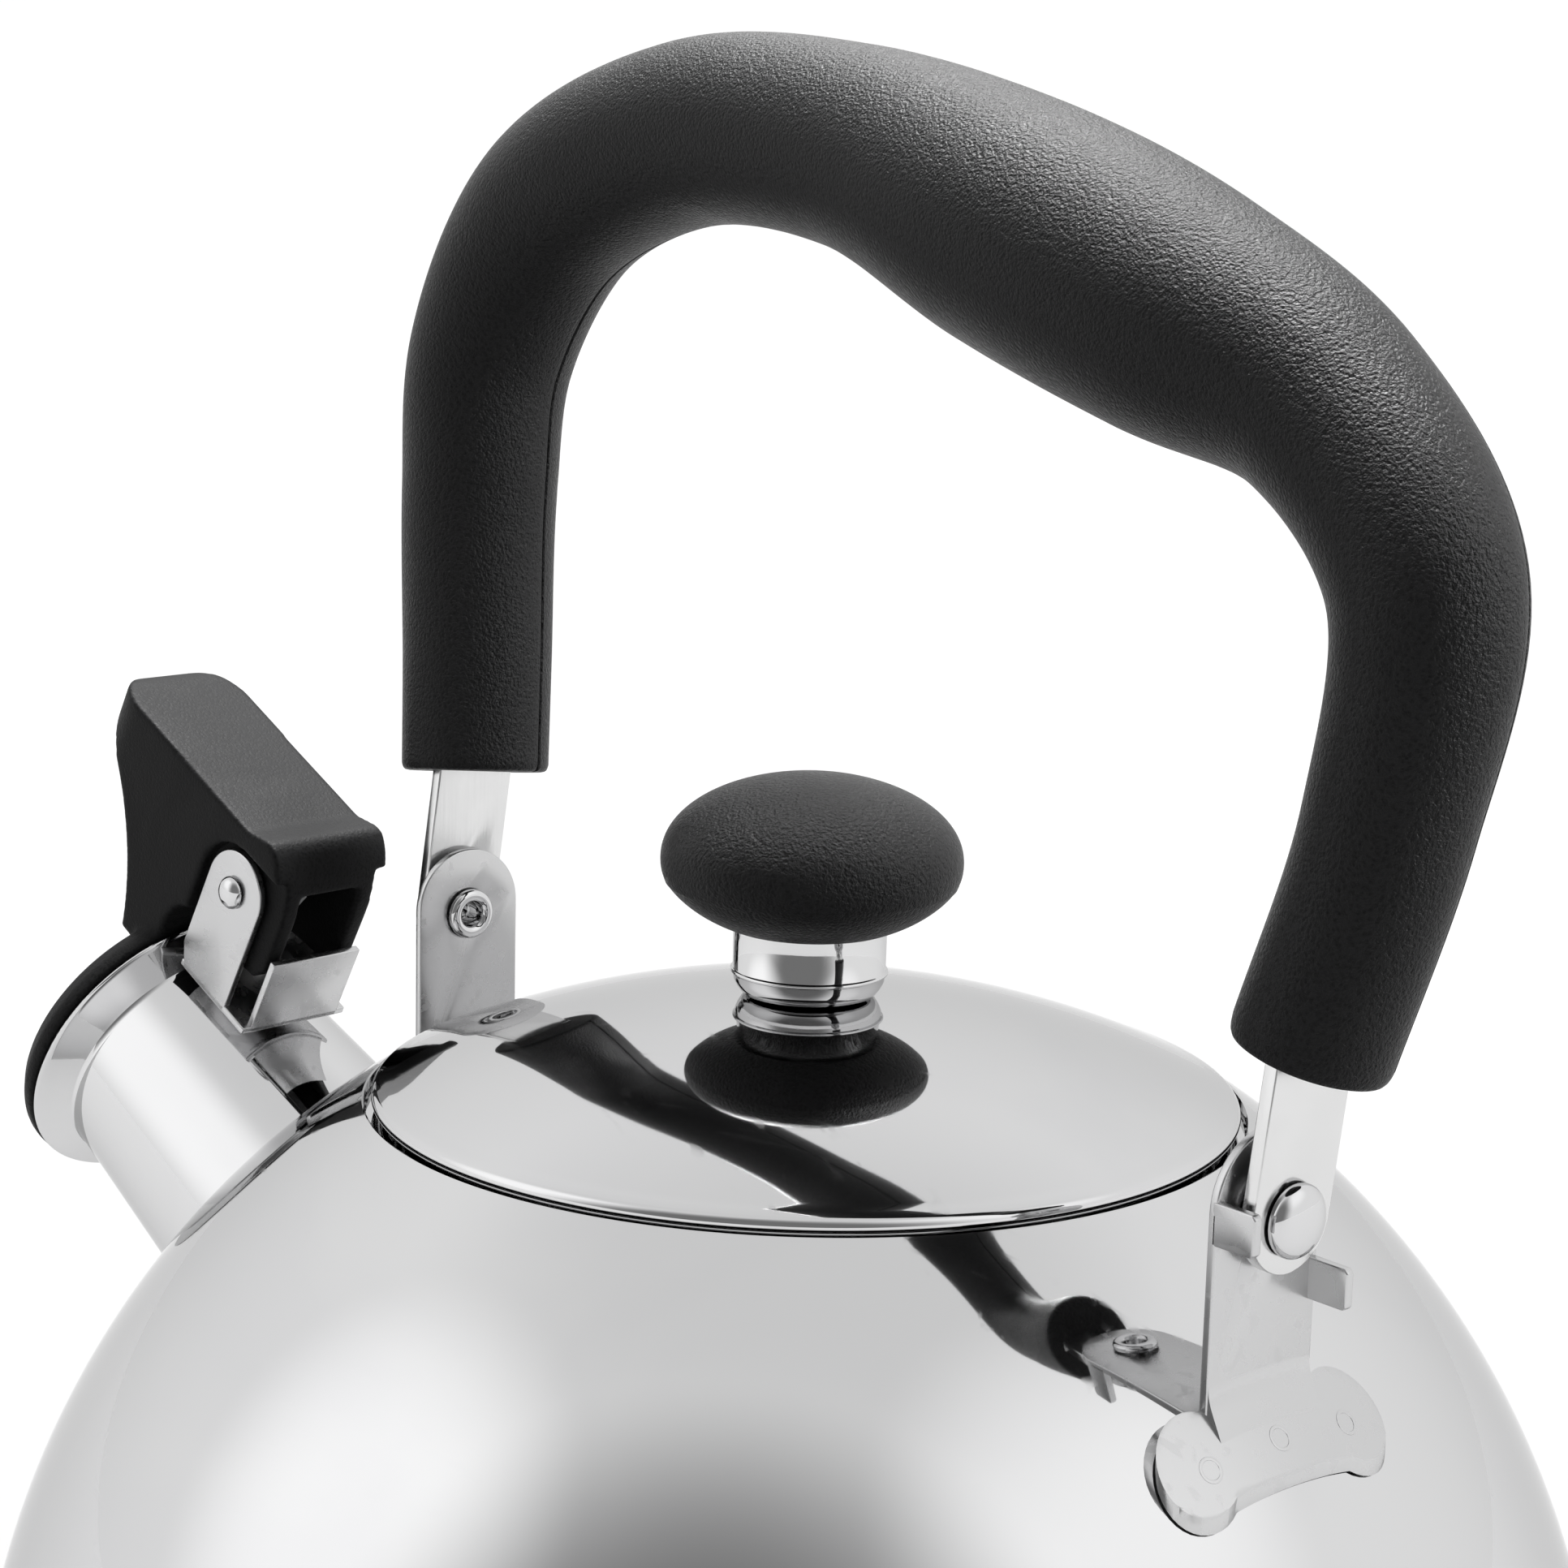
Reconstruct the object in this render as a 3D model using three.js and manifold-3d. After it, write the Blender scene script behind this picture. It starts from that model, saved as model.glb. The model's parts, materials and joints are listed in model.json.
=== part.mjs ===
// Stovetop whistling kettle with a bail handle. Millimetres, +Z up, origin at the centre of the base.
// The spout points roughly towards -X and the handle swings about an axis parallel to X.
import * as THREE from 'three';
import { mergeVertices } from 'three/addons/utils/BufferGeometryUtils.js';
import Module from 'manifold-3d';

const wasm = await Module();
wasm.setup();

// ---- Driving dimensions -------------------------------------------------------------------------
const GAP = 0.3; // clearance left between touching pieces
const SHEET = 0.8; // steel sheet of the body, lid and spout
const ROUND = 36; // facets around the large turned pieces

const BODY_R = 108.5; // radius of the ball-shaped body
const BODY_Z = 45.7; // height of its widest line
const RIM_Z = 138; // height of the lid rim
const SEAM_Z = 15; // where the upper shell meets the base pan
const NECK_R = 53; // clear radius of the filling opening
const NECK_DROP = 7; // height of the neck's straight wall
const LEDGE_STEP = 1.8; // how far the ledge under the lid's edge is set down

const BASE_R = 92; // flat foot of the capsule bottom
const CAP_H = 6; // height of the base capsule's wall
const FLOOR_Z = 5.9; // underside of the pan's floor

const LID_R = 57;
const LID_RISE = 12.5;

const KNOB_R = 20.1;
const KNOB_HALF_H = 10.9;
const KNOB_Z = RIM_Z + 31.2;
const FERRULE_R = 10.4;

const PIVOT_X = 79.5; // middle of each bracket plate, from the kettle's axis
const PIVOT_Z = RIM_Z + 6.7;
const PLATE = 1.2; // bracket sheet
const BRACKET_W = 17.5;
const STRAP_T = 2;
const STRAP_W = 13;
const PIVOT_R = 2.5;
const LEAN = 7; // degrees the handle leans at rest, towards +Y
const AXLE_TILT = 1.3; // degrees the pivot axis drops towards the rear

const SPOUT_TURN = 7; // degrees the spout sits round from the handle's plane
const SPOUT_TILT = 28.5; // degrees above level
const SPOUT_REACH = 97.8; // where its axis leaves the body: distance from the kettle's axis
const SPOUT_Z = RIM_Z - 45.4; // and height
const SPOUT_ROOT_R = 23.4;
const SPOUT_END_R = 20.9;
const SPOUT_FOLD = 44.2; // along the axis, where the flare starts
const SPOUT_LENGTH = 48;
const FLARE_R = 25.8;
const SPOUT_BORE_R = SPOUT_ROOT_R - 2.2; // hole in the body behind the spout

const PIN_S = 37.1; // lever pin: along the spout's axis
const PIN_P = 41.8; // and square to it
const EAR_OUT = 10; // outer face of each whistle bracket ear
const EAR_R = 6.6;
const PIN_R = 1.6;
const PIN_BORE_R = PIN_R + 0.15;

// ---- Geometry helpers ---------------------------------------------------------------------------
const rad = (degrees) => degrees * Math.PI / 180;

function signedVolume(geometry) {
  const position = geometry.getAttribute('position');
  const index = geometry.getIndex();
  const [a, b, c] = [new THREE.Vector3(), new THREE.Vector3(), new THREE.Vector3()];
  let volume = 0;
  for (let i = 0; i < index.count; i += 3) {
    a.fromBufferAttribute(position, index.getX(i));
    b.fromBufferAttribute(position, index.getX(i + 1));
    c.fromBufferAttribute(position, index.getX(i + 2));
    volume += a.dot(b.cross(c)) / 6;
  }
  return volume;
}

// A welded, position-only copy whose faces point outwards.
function weld(geometry) {
  const bare = new THREE.BufferGeometry();
  bare.setAttribute('position', geometry.getAttribute('position'));
  bare.setIndex(geometry.getIndex());
  const welded = mergeVertices(bare, 1e-4);
  if (signedVolume(welded) < 0) {
    const index = welded.getIndex().array;
    for (let i = 0; i < index.length; i += 3) {
      [index[i], index[i + 1]] = [index[i + 1], index[i]];
    }
  }
  return welded;
}

function toSolid(geometry) {
  const welded = weld(geometry);
  return new wasm.Manifold(new wasm.Mesh({
    numProp: 3,
    vertProperties: new Float32Array(welded.getAttribute('position').array),
    triVerts: new Uint32Array(welded.getIndex().array),
  }));
}

function toGeometry(solid) {
  const mesh = solid.getMesh();
  const geometry = new THREE.BufferGeometry();
  geometry.setAttribute('position', new THREE.BufferAttribute(new Float32Array(mesh.vertProperties), 3));
  geometry.setIndex(new THREE.BufferAttribute(new Uint32Array(mesh.triVerts), 1));
  return geometry;
}

const cut = (geometry, ...tools) => toGeometry(
  tools.reduce((solid, tool) => solid.subtract(toSolid(tool)), toSolid(geometry)));
const join = (geometry, ...others) => toGeometry(
  others.reduce((solid, other) => solid.add(toSolid(other)), toSolid(geometry)));
const common = (geometry, other) => toGeometry(toSolid(geometry).intersect(toSolid(other)));

// Turns a closed outline of [radius, height] points about Z.
function turn(outline, facets = ROUND) {
  const points = outline.map(([r, z]) => new THREE.Vector2(Math.max(r, 0), z));
  const touchesAxis = points[0].x === 0 && points.at(-1).x === 0;
  if (!touchesAxis) points.push(points[0].clone());
  return weld(new THREE.LatheGeometry(points, facets).rotateX(Math.PI / 2));
}

// The same about the X axis, as [radius, distance] points.
const turnAlongX = (outline, facets) => turn(outline, facets).rotateY(Math.PI / 2);

// Points on an arc of a circle centred on [r, z], from one angle to another in degrees.
function arc(r, z, radius, from, to, steps) {
  return Array.from({ length: steps + 1 }, (_, i) => {
    const angle = rad(from + (to - from) * i / steps);
    return [r + radius * Math.cos(angle), z + radius * Math.sin(angle)];
  });
}

function rod(radius, from, to, facets = 16) {
  return turn([[0, from], [radius, from], [radius, to], [0, to]], facets);
}

function box(x0, x1, y0, y1, z0, z1) {
  const geometry = new THREE.BoxGeometry(x1 - x0, y1 - y0, z1 - z0);
  return weld(geometry.translate((x0 + x1) / 2, (y0 + y1) / 2, (z0 + z1) / 2));
}

// A flat shape drawn in XZ and given thickness from y0 to y1.
function slab(shape, y0, y1, curveSegments = 8) {
  const geometry = new THREE.ExtrudeGeometry(shape, { depth: y1 - y0, bevelEnabled: false, curveSegments });
  return weld(geometry.rotateX(Math.PI / 2).translate(0, y1, 0));
}

// Joins rings of points into one closed skin.
function loft(rings) {
  const count = rings[0].length;
  const positions = rings.flat().flatMap((p) => [p.x, p.y, p.z]);
  const index = [];
  for (let i = 0; i + 1 < rings.length; i += 1) {
    for (let j = 0; j < count; j += 1) {
      const [a, b] = [i * count + j, i * count + (j + 1) % count];
      index.push(a, b, b + count, a, b + count, a + count);
    }
  }
  for (const [ring, flip] of [[0, true], [rings.length - 1, false]]) {
    const centre = rings[ring].reduce((sum, p) => sum.add(p), new THREE.Vector3()).divideScalar(count);
    const middle = positions.length / 3;
    positions.push(centre.x, centre.y, centre.z);
    for (let j = 0; j < count; j += 1) {
      const [a, b] = [ring * count + j, ring * count + (j + 1) % count];
      index.push(...(flip ? [b, a, middle] : [a, b, middle]));
    }
  }
  const geometry = new THREE.BufferGeometry();
  geometry.setAttribute('position', new THREE.Float32BufferAttribute(positions, 3));
  geometry.setIndex(index);
  return weld(geometry);
}

// ---- Where groups of pieces sit -----------------------------------------------------------------
// Spout pieces are drawn with X along the spout's axis, Z square to it and Y across.
const SPOUT_PLACE = new THREE.Matrix4()
  .makeRotationZ(rad(180 + SPOUT_TURN))
  .multiply(new THREE.Matrix4().makeTranslation(SPOUT_REACH, 0, SPOUT_Z))
  .multiply(new THREE.Matrix4().makeRotationY(rad(-SPOUT_TILT)));

// Handle pieces are drawn upright with Z measured from the pivot axis.
const HANDLE_PLACE = new THREE.Matrix4()
  .makeTranslation(0, 0, PIVOT_Z)
  .multiply(new THREE.Matrix4().makeRotationX(rad(-LEAN)));

const onSpout = (geometry) => geometry.clone().applyMatrix4(SPOUT_PLACE);
const onHandle = (geometry) => geometry.clone().applyMatrix4(HANDLE_PLACE);

// Pivot pieces are drawn about the X axis and set on the slightly tilted pivot axis.
const onAxle = (geometry) => geometry.rotateY(rad(AXLE_TILT)).translate(0, 0, PIVOT_Z);
// The same tilt seen from the leaning handle, so the strap's holes stay on the pivot axis.
const AXLE_ON_HANDLE = new THREE.Matrix4()
  .makeRotationX(rad(LEAN))
  .multiply(new THREE.Matrix4().makeRotationY(rad(AXLE_TILT)))
  .multiply(new THREE.Matrix4().makeRotationX(rad(-LEAN)));
const pivotHeight = (side) => PIVOT_Z - side * PIVOT_X * Math.tan(rad(AXLE_TILT));

// ---- Materials ----------------------------------------------------------------------------------
const steel = (roughness) => new THREE.MeshStandardMaterial({ color: 0xd4d6d8, roughness, metalness: 1 });
const POLISHED = () => steel(0.08);
const SATIN = () => steel(0.35);
const ALUMINIUM = () => new THREE.MeshStandardMaterial({ color: 0xb9bcc0, roughness: 0.5, metalness: 1 });
const PHENOLIC = () => new THREE.MeshStandardMaterial({ color: 0x151516, roughness: 0.55, metalness: 0 });

const kettle = new THREE.Group();
kettle.name = 'kettle';

function add(name, geometry, material) {
  const shaded = geometry.clone();
  shaded.computeVertexNormals();
  const mesh = new THREE.Mesh(shaded, material);
  mesh.name = name;
  kettle.add(mesh);
}

// ---- Body and base ------------------------------------------------------------------------------
const ballAngle = (z, radius = BODY_R) => THREE.MathUtils.radToDeg(Math.asin((z - BODY_Z) / radius));

function bodyShell() {
  const inner = BODY_R - SHEET;
  const shoulder = THREE.MathUtils.radToDeg(Math.acos((LID_R + 1.2) / BODY_R));
  const outerArc = arc(0, BODY_Z, BODY_R, ballAngle(SEAM_Z), shoulder, 9);
  const ledgeZ = outerArc.at(-1)[1] - LEDGE_STEP;
  const lip = 1.4;
  const outline = [
    ...outerArc,
    [LID_R + 0.9, ledgeZ],
    ...arc(NECK_R + lip, ledgeZ - lip, lip, 90, 180, 2),
    [NECK_R, ledgeZ - NECK_DROP],
    [NECK_R + SHEET, ledgeZ - NECK_DROP],
    ...arc(NECK_R + lip, ledgeZ - lip, lip - SHEET, 180, 90, 1),
    [LID_R + 0.6, ledgeZ - SHEET],
    ...arc(0, BODY_Z, inner, shoulder - 0.9, ballAngle(SEAM_Z, inner), 9),
  ];
  const bore = onSpout(turnAlongX([[0, -20], [SPOUT_BORE_R, -20], [SPOUT_BORE_R, 25], [0, 25]], 32));
  return cut(turn(outline), bore);
}

function basePan() {
  const outer = BODY_R;
  const lap = BODY_R - SHEET - GAP;
  const inner = lap - SHEET;
  const corner = 13;
  const low = SEAM_Z - GAP;
  const seamR = outer * Math.cos(rad(ballAngle(low)));
  const cornerZ = FLOOR_Z + corner;
  const outline = [
    [0, FLOOR_Z],
    ...arc(seamR - corner + 0.2, cornerZ, corner, -90, -22, 4),
    [seamR, low],
    [lap * Math.cos(rad(ballAngle(low, lap))), low],
    ...arc(0, BODY_Z, lap, ballAngle(low + 1, lap), ballAngle(low + 7, lap), 1),
    ...arc(0, BODY_Z, inner, ballAngle(low + 7, inner), ballAngle(low + 1, inner), 1),
    ...arc(seamR - corner + 0.2, cornerZ, corner - SHEET, -22, -90, 4),
    [0, FLOOR_Z + SHEET],
  ];
  return turn(outline);
}

function heatDisc() {
  const r = BASE_R - 3;
  return turn([[0, SHEET + GAP], [r - 2, SHEET + GAP], [r, SHEET + GAP + 1.5], [r, FLOOR_Z - GAP], [0, FLOOR_Z - GAP]]);
}

function baseCapsule() {
  const edge = 3;
  const wallTop = CAP_H - 0.6;
  return turn([
    [0, 0],
    ...arc(BASE_R - edge, edge, edge, -90, 0, 3),
    [BASE_R, wallTop],
    [BASE_R - SHEET, wallTop],
    ...arc(BASE_R - edge, edge, edge - SHEET, 0, -90, 3),
    [0, SHEET],
  ]);
}

// ---- Spout --------------------------------------------------------------------------------------
function spoutTube() {
  const start = -16;
  const outerAt = (s) => SPOUT_ROOT_R + (SPOUT_END_R - SPOUT_ROOT_R) * s / SPOUT_FOLD;
  const outline = [
    [outerAt(start), start],
    [SPOUT_END_R, SPOUT_FOLD],
    [FLARE_R - 0.5, SPOUT_LENGTH - 0.6],
    [FLARE_R, SPOUT_LENGTH],
    [FLARE_R - 1, SPOUT_LENGTH + 0.1],
    [SPOUT_END_R - SHEET, SPOUT_FOLD + 0.2],
    [outerAt(start) - SHEET, start],
  ];
  const ball = turn([
    [0, BODY_Z - BODY_R - GAP],
    ...arc(0, BODY_Z, BODY_R + GAP, -80, 80, 18),
    [0, BODY_Z + BODY_R + GAP],
  ]);
  return cut(onSpout(turnAlongX(outline, 36)), ball);
}

// ---- Handle brackets, one at each end of the pivot axis -----------------------------------------
// side is +1 for the rear bracket and -1 for the front one.
function bracket(side) {
  const x = side * PIVOT_X;
  const footShift = side > 0 ? 3.3 : -3.3; // the front foot turns inwards, clear of the spout
  const half = BRACKET_W / 2;
  const pivot = pivotHeight(side);
  const top = pivot + 1;
  const shape = new THREE.Shape();
  shape.moveTo(-half, BODY_Z);
  shape.lineTo(half, BODY_Z);
  shape.lineTo(half, top);
  shape.absarc(0, top, half, 0, Math.PI);
  shape.closePath();
  const flat = slab(shape, -PLATE / 2, PLATE / 2, 10).rotateZ(Math.PI / 2).translate(x, 0, 0);

  // Two tabs bent out from the rear plate's edges stop the handle: the high one at a small swing
  // to its side, the low one once the handle lies folded.
  const tab = (y0, y1, z) => box(x, x + 6.2, y0, y1, z - 2.5, z + 2.5);
  const highTab = tab(-half, -half + PLATE, pivot);
  const lowTab = tab(half - PLATE, half, pivot - 9.5);
  const plate = side > 0 ? join(flat, highTab, lowTab) : flat;

  // The foot is a sheet pressed to the ball, wider across than the plate, with two lobes.
  const footShape = new THREE.Shape();
  const [lobe, spread, waist, squash] = [5.8, 12.5, 5, 0.66];
  footShape.absarc(-spread, 0, lobe, rad(60), rad(300));
  footShape.lineTo(-spread + lobe, -waist);
  footShape.lineTo(spread - lobe, -waist);
  footShape.absarc(spread, 0, lobe, rad(240), rad(480));
  footShape.lineTo(spread - lobe, waist);
  footShape.lineTo(-spread + lobe, waist);
  const column = slab(footShape, -90, 90, 6).rotateX(Math.PI / 2).rotateZ(Math.PI / 2);
  column.scale(squash, 1, 1).translate(side * (PIVOT_X + footShift), 0, BODY_Z + 60);
  const shell = (radius) => turn([
    [0, BODY_Z + 30],
    ...arc(0, BODY_Z, radius, 20, 62, 7),
    [0, BODY_Z + radius * Math.sin(rad(62))],
  ]);
  const skin = cut(shell(BODY_R + GAP + PLATE), shell(BODY_R + GAP));
  const foot = common(column, skin);
  const inside = turn([
    [0, BODY_Z - 20],
    [BODY_R, BODY_Z - 20],
    ...arc(0, BODY_Z, BODY_R + GAP, 0, 80, 12),
    [0, BODY_Z + BODY_R],
  ]);
  const bore = rod(PIVOT_R + GAP, -6, 6).rotateY(Math.PI / 2).translate(x, 0, pivot);
  return cut(join(cut(plate, inside), foot), bore);
}

const STRAP_X = PIVOT_X + PLATE / 2 + GAP + 0.8 + GAP + STRAP_T / 2;

function pivotWasher(side) {
  const start = PIVOT_X + PLATE / 2 + GAP;
  const ring = turn([[PIVOT_R + GAP, start], [5, start], [5, start + 0.8], [PIVOT_R + GAP, start + 0.8]], 20);
  return onAxle(ring.rotateY(Math.PI / 2).rotateZ(side > 0 ? 0 : Math.PI));
}

function pivotRivet(side) {
  const inner = PIVOT_X - PLATE / 2 - GAP;
  const outer = STRAP_X + STRAP_T / 2 + GAP;
  const [eyelet, bore, head] = [3.8, 1.6, 4.4];
  const outline = [
    [bore, inner - 0.6],
    [bore + 0.6, inner - 1.1],
    [eyelet - 0.5, inner - 1],
    [eyelet, inner - 0.4],
    [eyelet, inner],
    [PIVOT_R, inner],
    [PIVOT_R, outer],
    [head, outer],
    [head, outer + 0.5],
    [head * 0.8, outer + 1.6],
    [head * 0.45, outer + 2.2],
    [0, outer + 2.4],
    [0, outer - 1],
    [bore, outer - 1],
  ];
  const points = outline.map(([r, z]) => new THREE.Vector2(r, z));
  const bored = [...points.slice(12), ...points.slice(0, 12)];
  const geometry = weld(new THREE.LatheGeometry(bored, 16).rotateX(Math.PI / 2));
  return onAxle(geometry.rotateY(Math.PI / 2).rotateZ(side > 0 ? 0 : Math.PI));
}

// ---- Bail handle --------------------------------------------------------------------------------
// Centre line of the grip as [x, height above the pivot, thickness radius], front end first.
const GRIP_LINE = [
  [-81.6, 23, 11],
  [-84.1, 39.1, 11.2],
  [-88.4, 65.2, 11.7],
  [-89, 85.9, 12.4],
  [-76, 107.2, 13.2],
  [-46.6, 118.1, 12.9],
  [-10.7, 116.2, 13.3],
  [21.5, 106.6, 15.8],
  [48.3, 97.6, 15.2],
  [72.9, 87.9, 12],
  [89.8, 69.7, 10.9],
  [89.3, 43.8, 9.6],
  [82.8, 16.5, 9.4],
];
const GRIP_STEPS = 28;
const PARTING_Y = 4.5; // where the side cover meets the main grip

const gripCurve = new THREE.CatmullRomCurve3(
  GRIP_LINE.map(([x, z]) => new THREE.Vector3(x, 0, z)), false, 'centripetal');

function gripFrame(place01) {
  const t = THREE.MathUtils.clamp(place01, 0, 1);
  const tangent = gripCurve.getTangent(t);
  const beyondEnd = (place01 - t) * 100;
  const point = gripCurve.getPoint(t).addScaledVector(tangent, beyondEnd);
  const normal = new THREE.Vector3(-tangent.z, 0, tangent.x);
  const place = t * (GRIP_LINE.length - 1);
  const i = Math.min(Math.floor(place), GRIP_LINE.length - 2);
  const radius = THREE.MathUtils.lerp(GRIP_LINE[i][2], GRIP_LINE[i + 1][2], place - i);
  return { point, tangent, normal, radius };
}

// A ring of [across, outwards] points set square to the grip's centre line.
function gripRing(t, section) {
  const { point, normal, radius } = gripFrame(t);
  return section(radius, t).map(([across, out]) => new THREE.Vector3(
    point.x + normal.x * out, across, point.z + normal.z * out));
}

// A closed section swept along the grip's centre line, and straight on past its ends if asked.
function alongGrip(section, overrun = 0) {
  const places = Array.from({ length: GRIP_STEPS + 1 }, (_, i) => i / GRIP_STEPS);
  if (overrun > 0) places.unshift(-overrun);
  if (overrun > 0) places.push(1 + overrun);
  return loft(places.map((place) => gripRing(place, section)));
}

function gripSolid() {
  const sides = 14;
  const endSoftening = 0.04;
  return alongGrip((radius, t) => {
    const soft = Math.min(1, 0.86 + 0.14 * Math.min(t, 1 - t) / endSoftening);
    return Array.from({ length: sides }, (_, i) => {
      const angle = 2 * Math.PI * i / sides;
      return [radius * soft * Math.cos(angle), radius * soft * Math.sin(angle)];
    });
  });
}

const band = (halfWidth, halfThickness) => () => [
  [-halfWidth, -halfThickness],
  [halfWidth, -halfThickness],
  [halfWidth, halfThickness],
  [-halfWidth, halfThickness],
];

function bailStrap() {
  const core = alongGrip(band(STRAP_W / 2, STRAP_T / 2));
  const leg = (side) => {
    const shape = new THREE.Shape();
    const [half, bendZ] = [STRAP_W / 2, 9];
    shape.moveTo(half, 0);
    shape.lineTo(half, bendZ);
    shape.lineTo(-half, bendZ);
    shape.lineTo(-half, 0);
    shape.absarc(0, 0, half, Math.PI, 2 * Math.PI);
    const flat = slab(shape, -STRAP_T / 2, STRAP_T / 2).rotateZ(Math.PI / 2).translate(side * STRAP_X, 0, 0);
    const end = flat.applyMatrix4(AXLE_ON_HANDLE);
    const inset = 0.05; // keeps the faces of the joined lengths apart, so no slivers form
    const [halfW, halfT] = [half - inset, side * (STRAP_T / 2 - inset)];
    const foot = [[-halfW, -halfT], [halfW, -halfT], [halfW, halfT], [-halfW, halfT]].map(([y, x]) => (
      new THREE.Vector3(side * STRAP_X + x, y, bendZ - 0.5).applyMatrix4(AXLE_ON_HANDLE)));
    const root = gripRing(side < 0 ? 0.004 : 0.996, band(halfW, STRAP_T / 2 - inset));
    return join(end, loft([foot, root]));
  };
  const bore = rod(PIVOT_R + GAP, -120, 120).rotateY(Math.PI / 2).applyMatrix4(AXLE_ON_HANDLE);
  return cut(join(core, leg(-1), leg(1)), bore);
}

function gripHalf(keepCover) {
  const seam = 0.15;
  const reach = 200;
  const keep = keepCover
    ? box(-reach, reach, PARTING_Y + seam, reach, -reach, reach)
    : box(-reach, reach, -reach, PARTING_Y - seam, -reach, reach);
  const channel = alongGrip(band(STRAP_W / 2 + GAP, STRAP_T / 2 + GAP), 0.02);
  const half = cut(common(gripSolid(), keep), channel);
  return cut(half, ...GRIP_SCREWS.map((t) => gripScrewAt(t, GAP)));
}

// Screws that hold the cover on, at these places along the grip.
const GRIP_SCREWS = [0.17, 0.86];

function gripScrewAt(t, grow) {
  const { point, radius, normal } = gripFrame(t);
  const headTop = radius - 3;
  const offset = STRAP_T / 2 + GAP + 3.2;
  const body = turn([
    [0, -3 - grow],
    [1.5 + grow, -3 - grow],
    [1.5 + grow, headTop - 2 - grow],
    [2.8 + grow, headTop - 2 - grow],
    [2.8 + grow, grow ? radius + 5 : headTop],
    [0, grow ? radius + 5 : headTop],
  ], 12);
  return body.rotateX(-Math.PI / 2).translate(point.x - normal.x * offset, 0, point.z - normal.z * offset);
}

// ---- Lid ----------------------------------------------------------------------------------------
const LID_BALL_R = (LID_R ** 2 + LID_RISE ** 2) / (2 * LID_RISE);
const LID_Z = RIM_Z + 0.6; // height of the lid's edge line
const LID_BALL_Z = LID_Z + LID_RISE - LID_BALL_R;
const lidAngle = (r, radius = LID_BALL_R) => THREE.MathUtils.radToDeg(Math.acos(r / radius));

function lidDome() {
  const [roll, hole] = [1.3, 2.6];
  const edge = LID_R - roll;
  const edgeZ = LID_BALL_Z + LID_BALL_R * Math.sin(rad(lidAngle(edge))) - roll;
  const inner = LID_BALL_R - SHEET;
  return turn([
    ...arc(0, LID_BALL_Z, LID_BALL_R, lidAngle(hole), lidAngle(edge), 6),
    ...arc(edge, edgeZ, roll, 60, -90, 4),
    [edge - 0.6, edgeZ - roll],
    [edge - 0.6, edgeZ - roll + SHEET],
    ...arc(0, LID_BALL_Z, inner, lidAngle(edge - 1, inner), lidAngle(hole, inner), 6),
  ]);
}

function lidCollar() {
  const [r, flange, drop] = [NECK_R - 0.8, 8, 11];
  const under = LID_BALL_R - SHEET - GAP;
  const skinZ = (radius, at) => LID_BALL_Z + radius * Math.sin(rad(lidAngle(at, radius)));
  return turn([
    [r - flange, skinZ(under, r - flange)],
    [r, skinZ(under, r)],
    [r, LID_Z - drop],
    [r - 2.5, LID_Z - drop - 0.8],
    [r - 2.5, LID_Z - drop],
    [r - SHEET, LID_Z - drop + 0.8],
    [r - SHEET, skinZ(under - SHEET, r - SHEET)],
    [r - flange, skinZ(under - SHEET, r - flange)],
  ]);
}

const LID_TOP = LID_BALL_Z + LID_BALL_R;
const FERRULE_TOP = KNOB_Z - KNOB_HALF_H + 1.6;

function knobFerrule() {
  const seat = (r) => LID_BALL_Z + LID_BALL_R * Math.sin(rad(lidAngle(r))) + GAP;
  return turn([
    [2.6, seat(2.6)],
    [FERRULE_R, seat(FERRULE_R)],
    [FERRULE_R, FERRULE_TOP],
    [FERRULE_R - 1, FERRULE_TOP],
    [FERRULE_R - 1, seat(0) + 1.5],
    [2.6, seat(0) + 1.5],
  ], 28);
}

function knob() {
  const foot = 9;
  const socket = FERRULE_TOP + GAP;
  const low = KNOB_Z - KNOB_HALF_H * Math.sqrt(1 - ((FERRULE_R + 0.6) / KNOB_R) ** 2);
  const start = THREE.MathUtils.radToDeg(Math.asin((low - KNOB_Z) / KNOB_HALF_H));
  const steps = 9;
  const bulge = Array.from({ length: steps }, (_, i) => {
    const angle = rad(start + (90 - start) * i / steps);
    return [KNOB_R * Math.cos(angle), KNOB_Z + KNOB_HALF_H * Math.sin(angle)];
  });
  return turn([
    [0, KNOB_Z + 4],
    [2.3, KNOB_Z + 4],
    [2.3, socket - 4],
    [foot, socket - 4],
    [foot, socket],
    [FERRULE_R + 0.5, socket],
    ...bulge,
    [0, KNOB_Z + KNOB_HALF_H],
  ], 28);
}

function knobWasher() {
  const top = LID_TOP - SHEET - GAP;
  return turn([[2.4, top - 0.8], [6.5, top - 0.8], [6.5, top], [2.4, top]], 20);
}

function knobScrew() {
  const head = LID_TOP - SHEET - GAP - 0.8 - GAP;
  return turn([
    [0, head - 2.4],
    [3, head - 2.4],
    [4.5, head - 1.2],
    [4.5, head],
    [2, head],
    [2, KNOB_Z + 3],
    [0, KNOB_Z + 3.6],
  ], 20);
}

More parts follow.
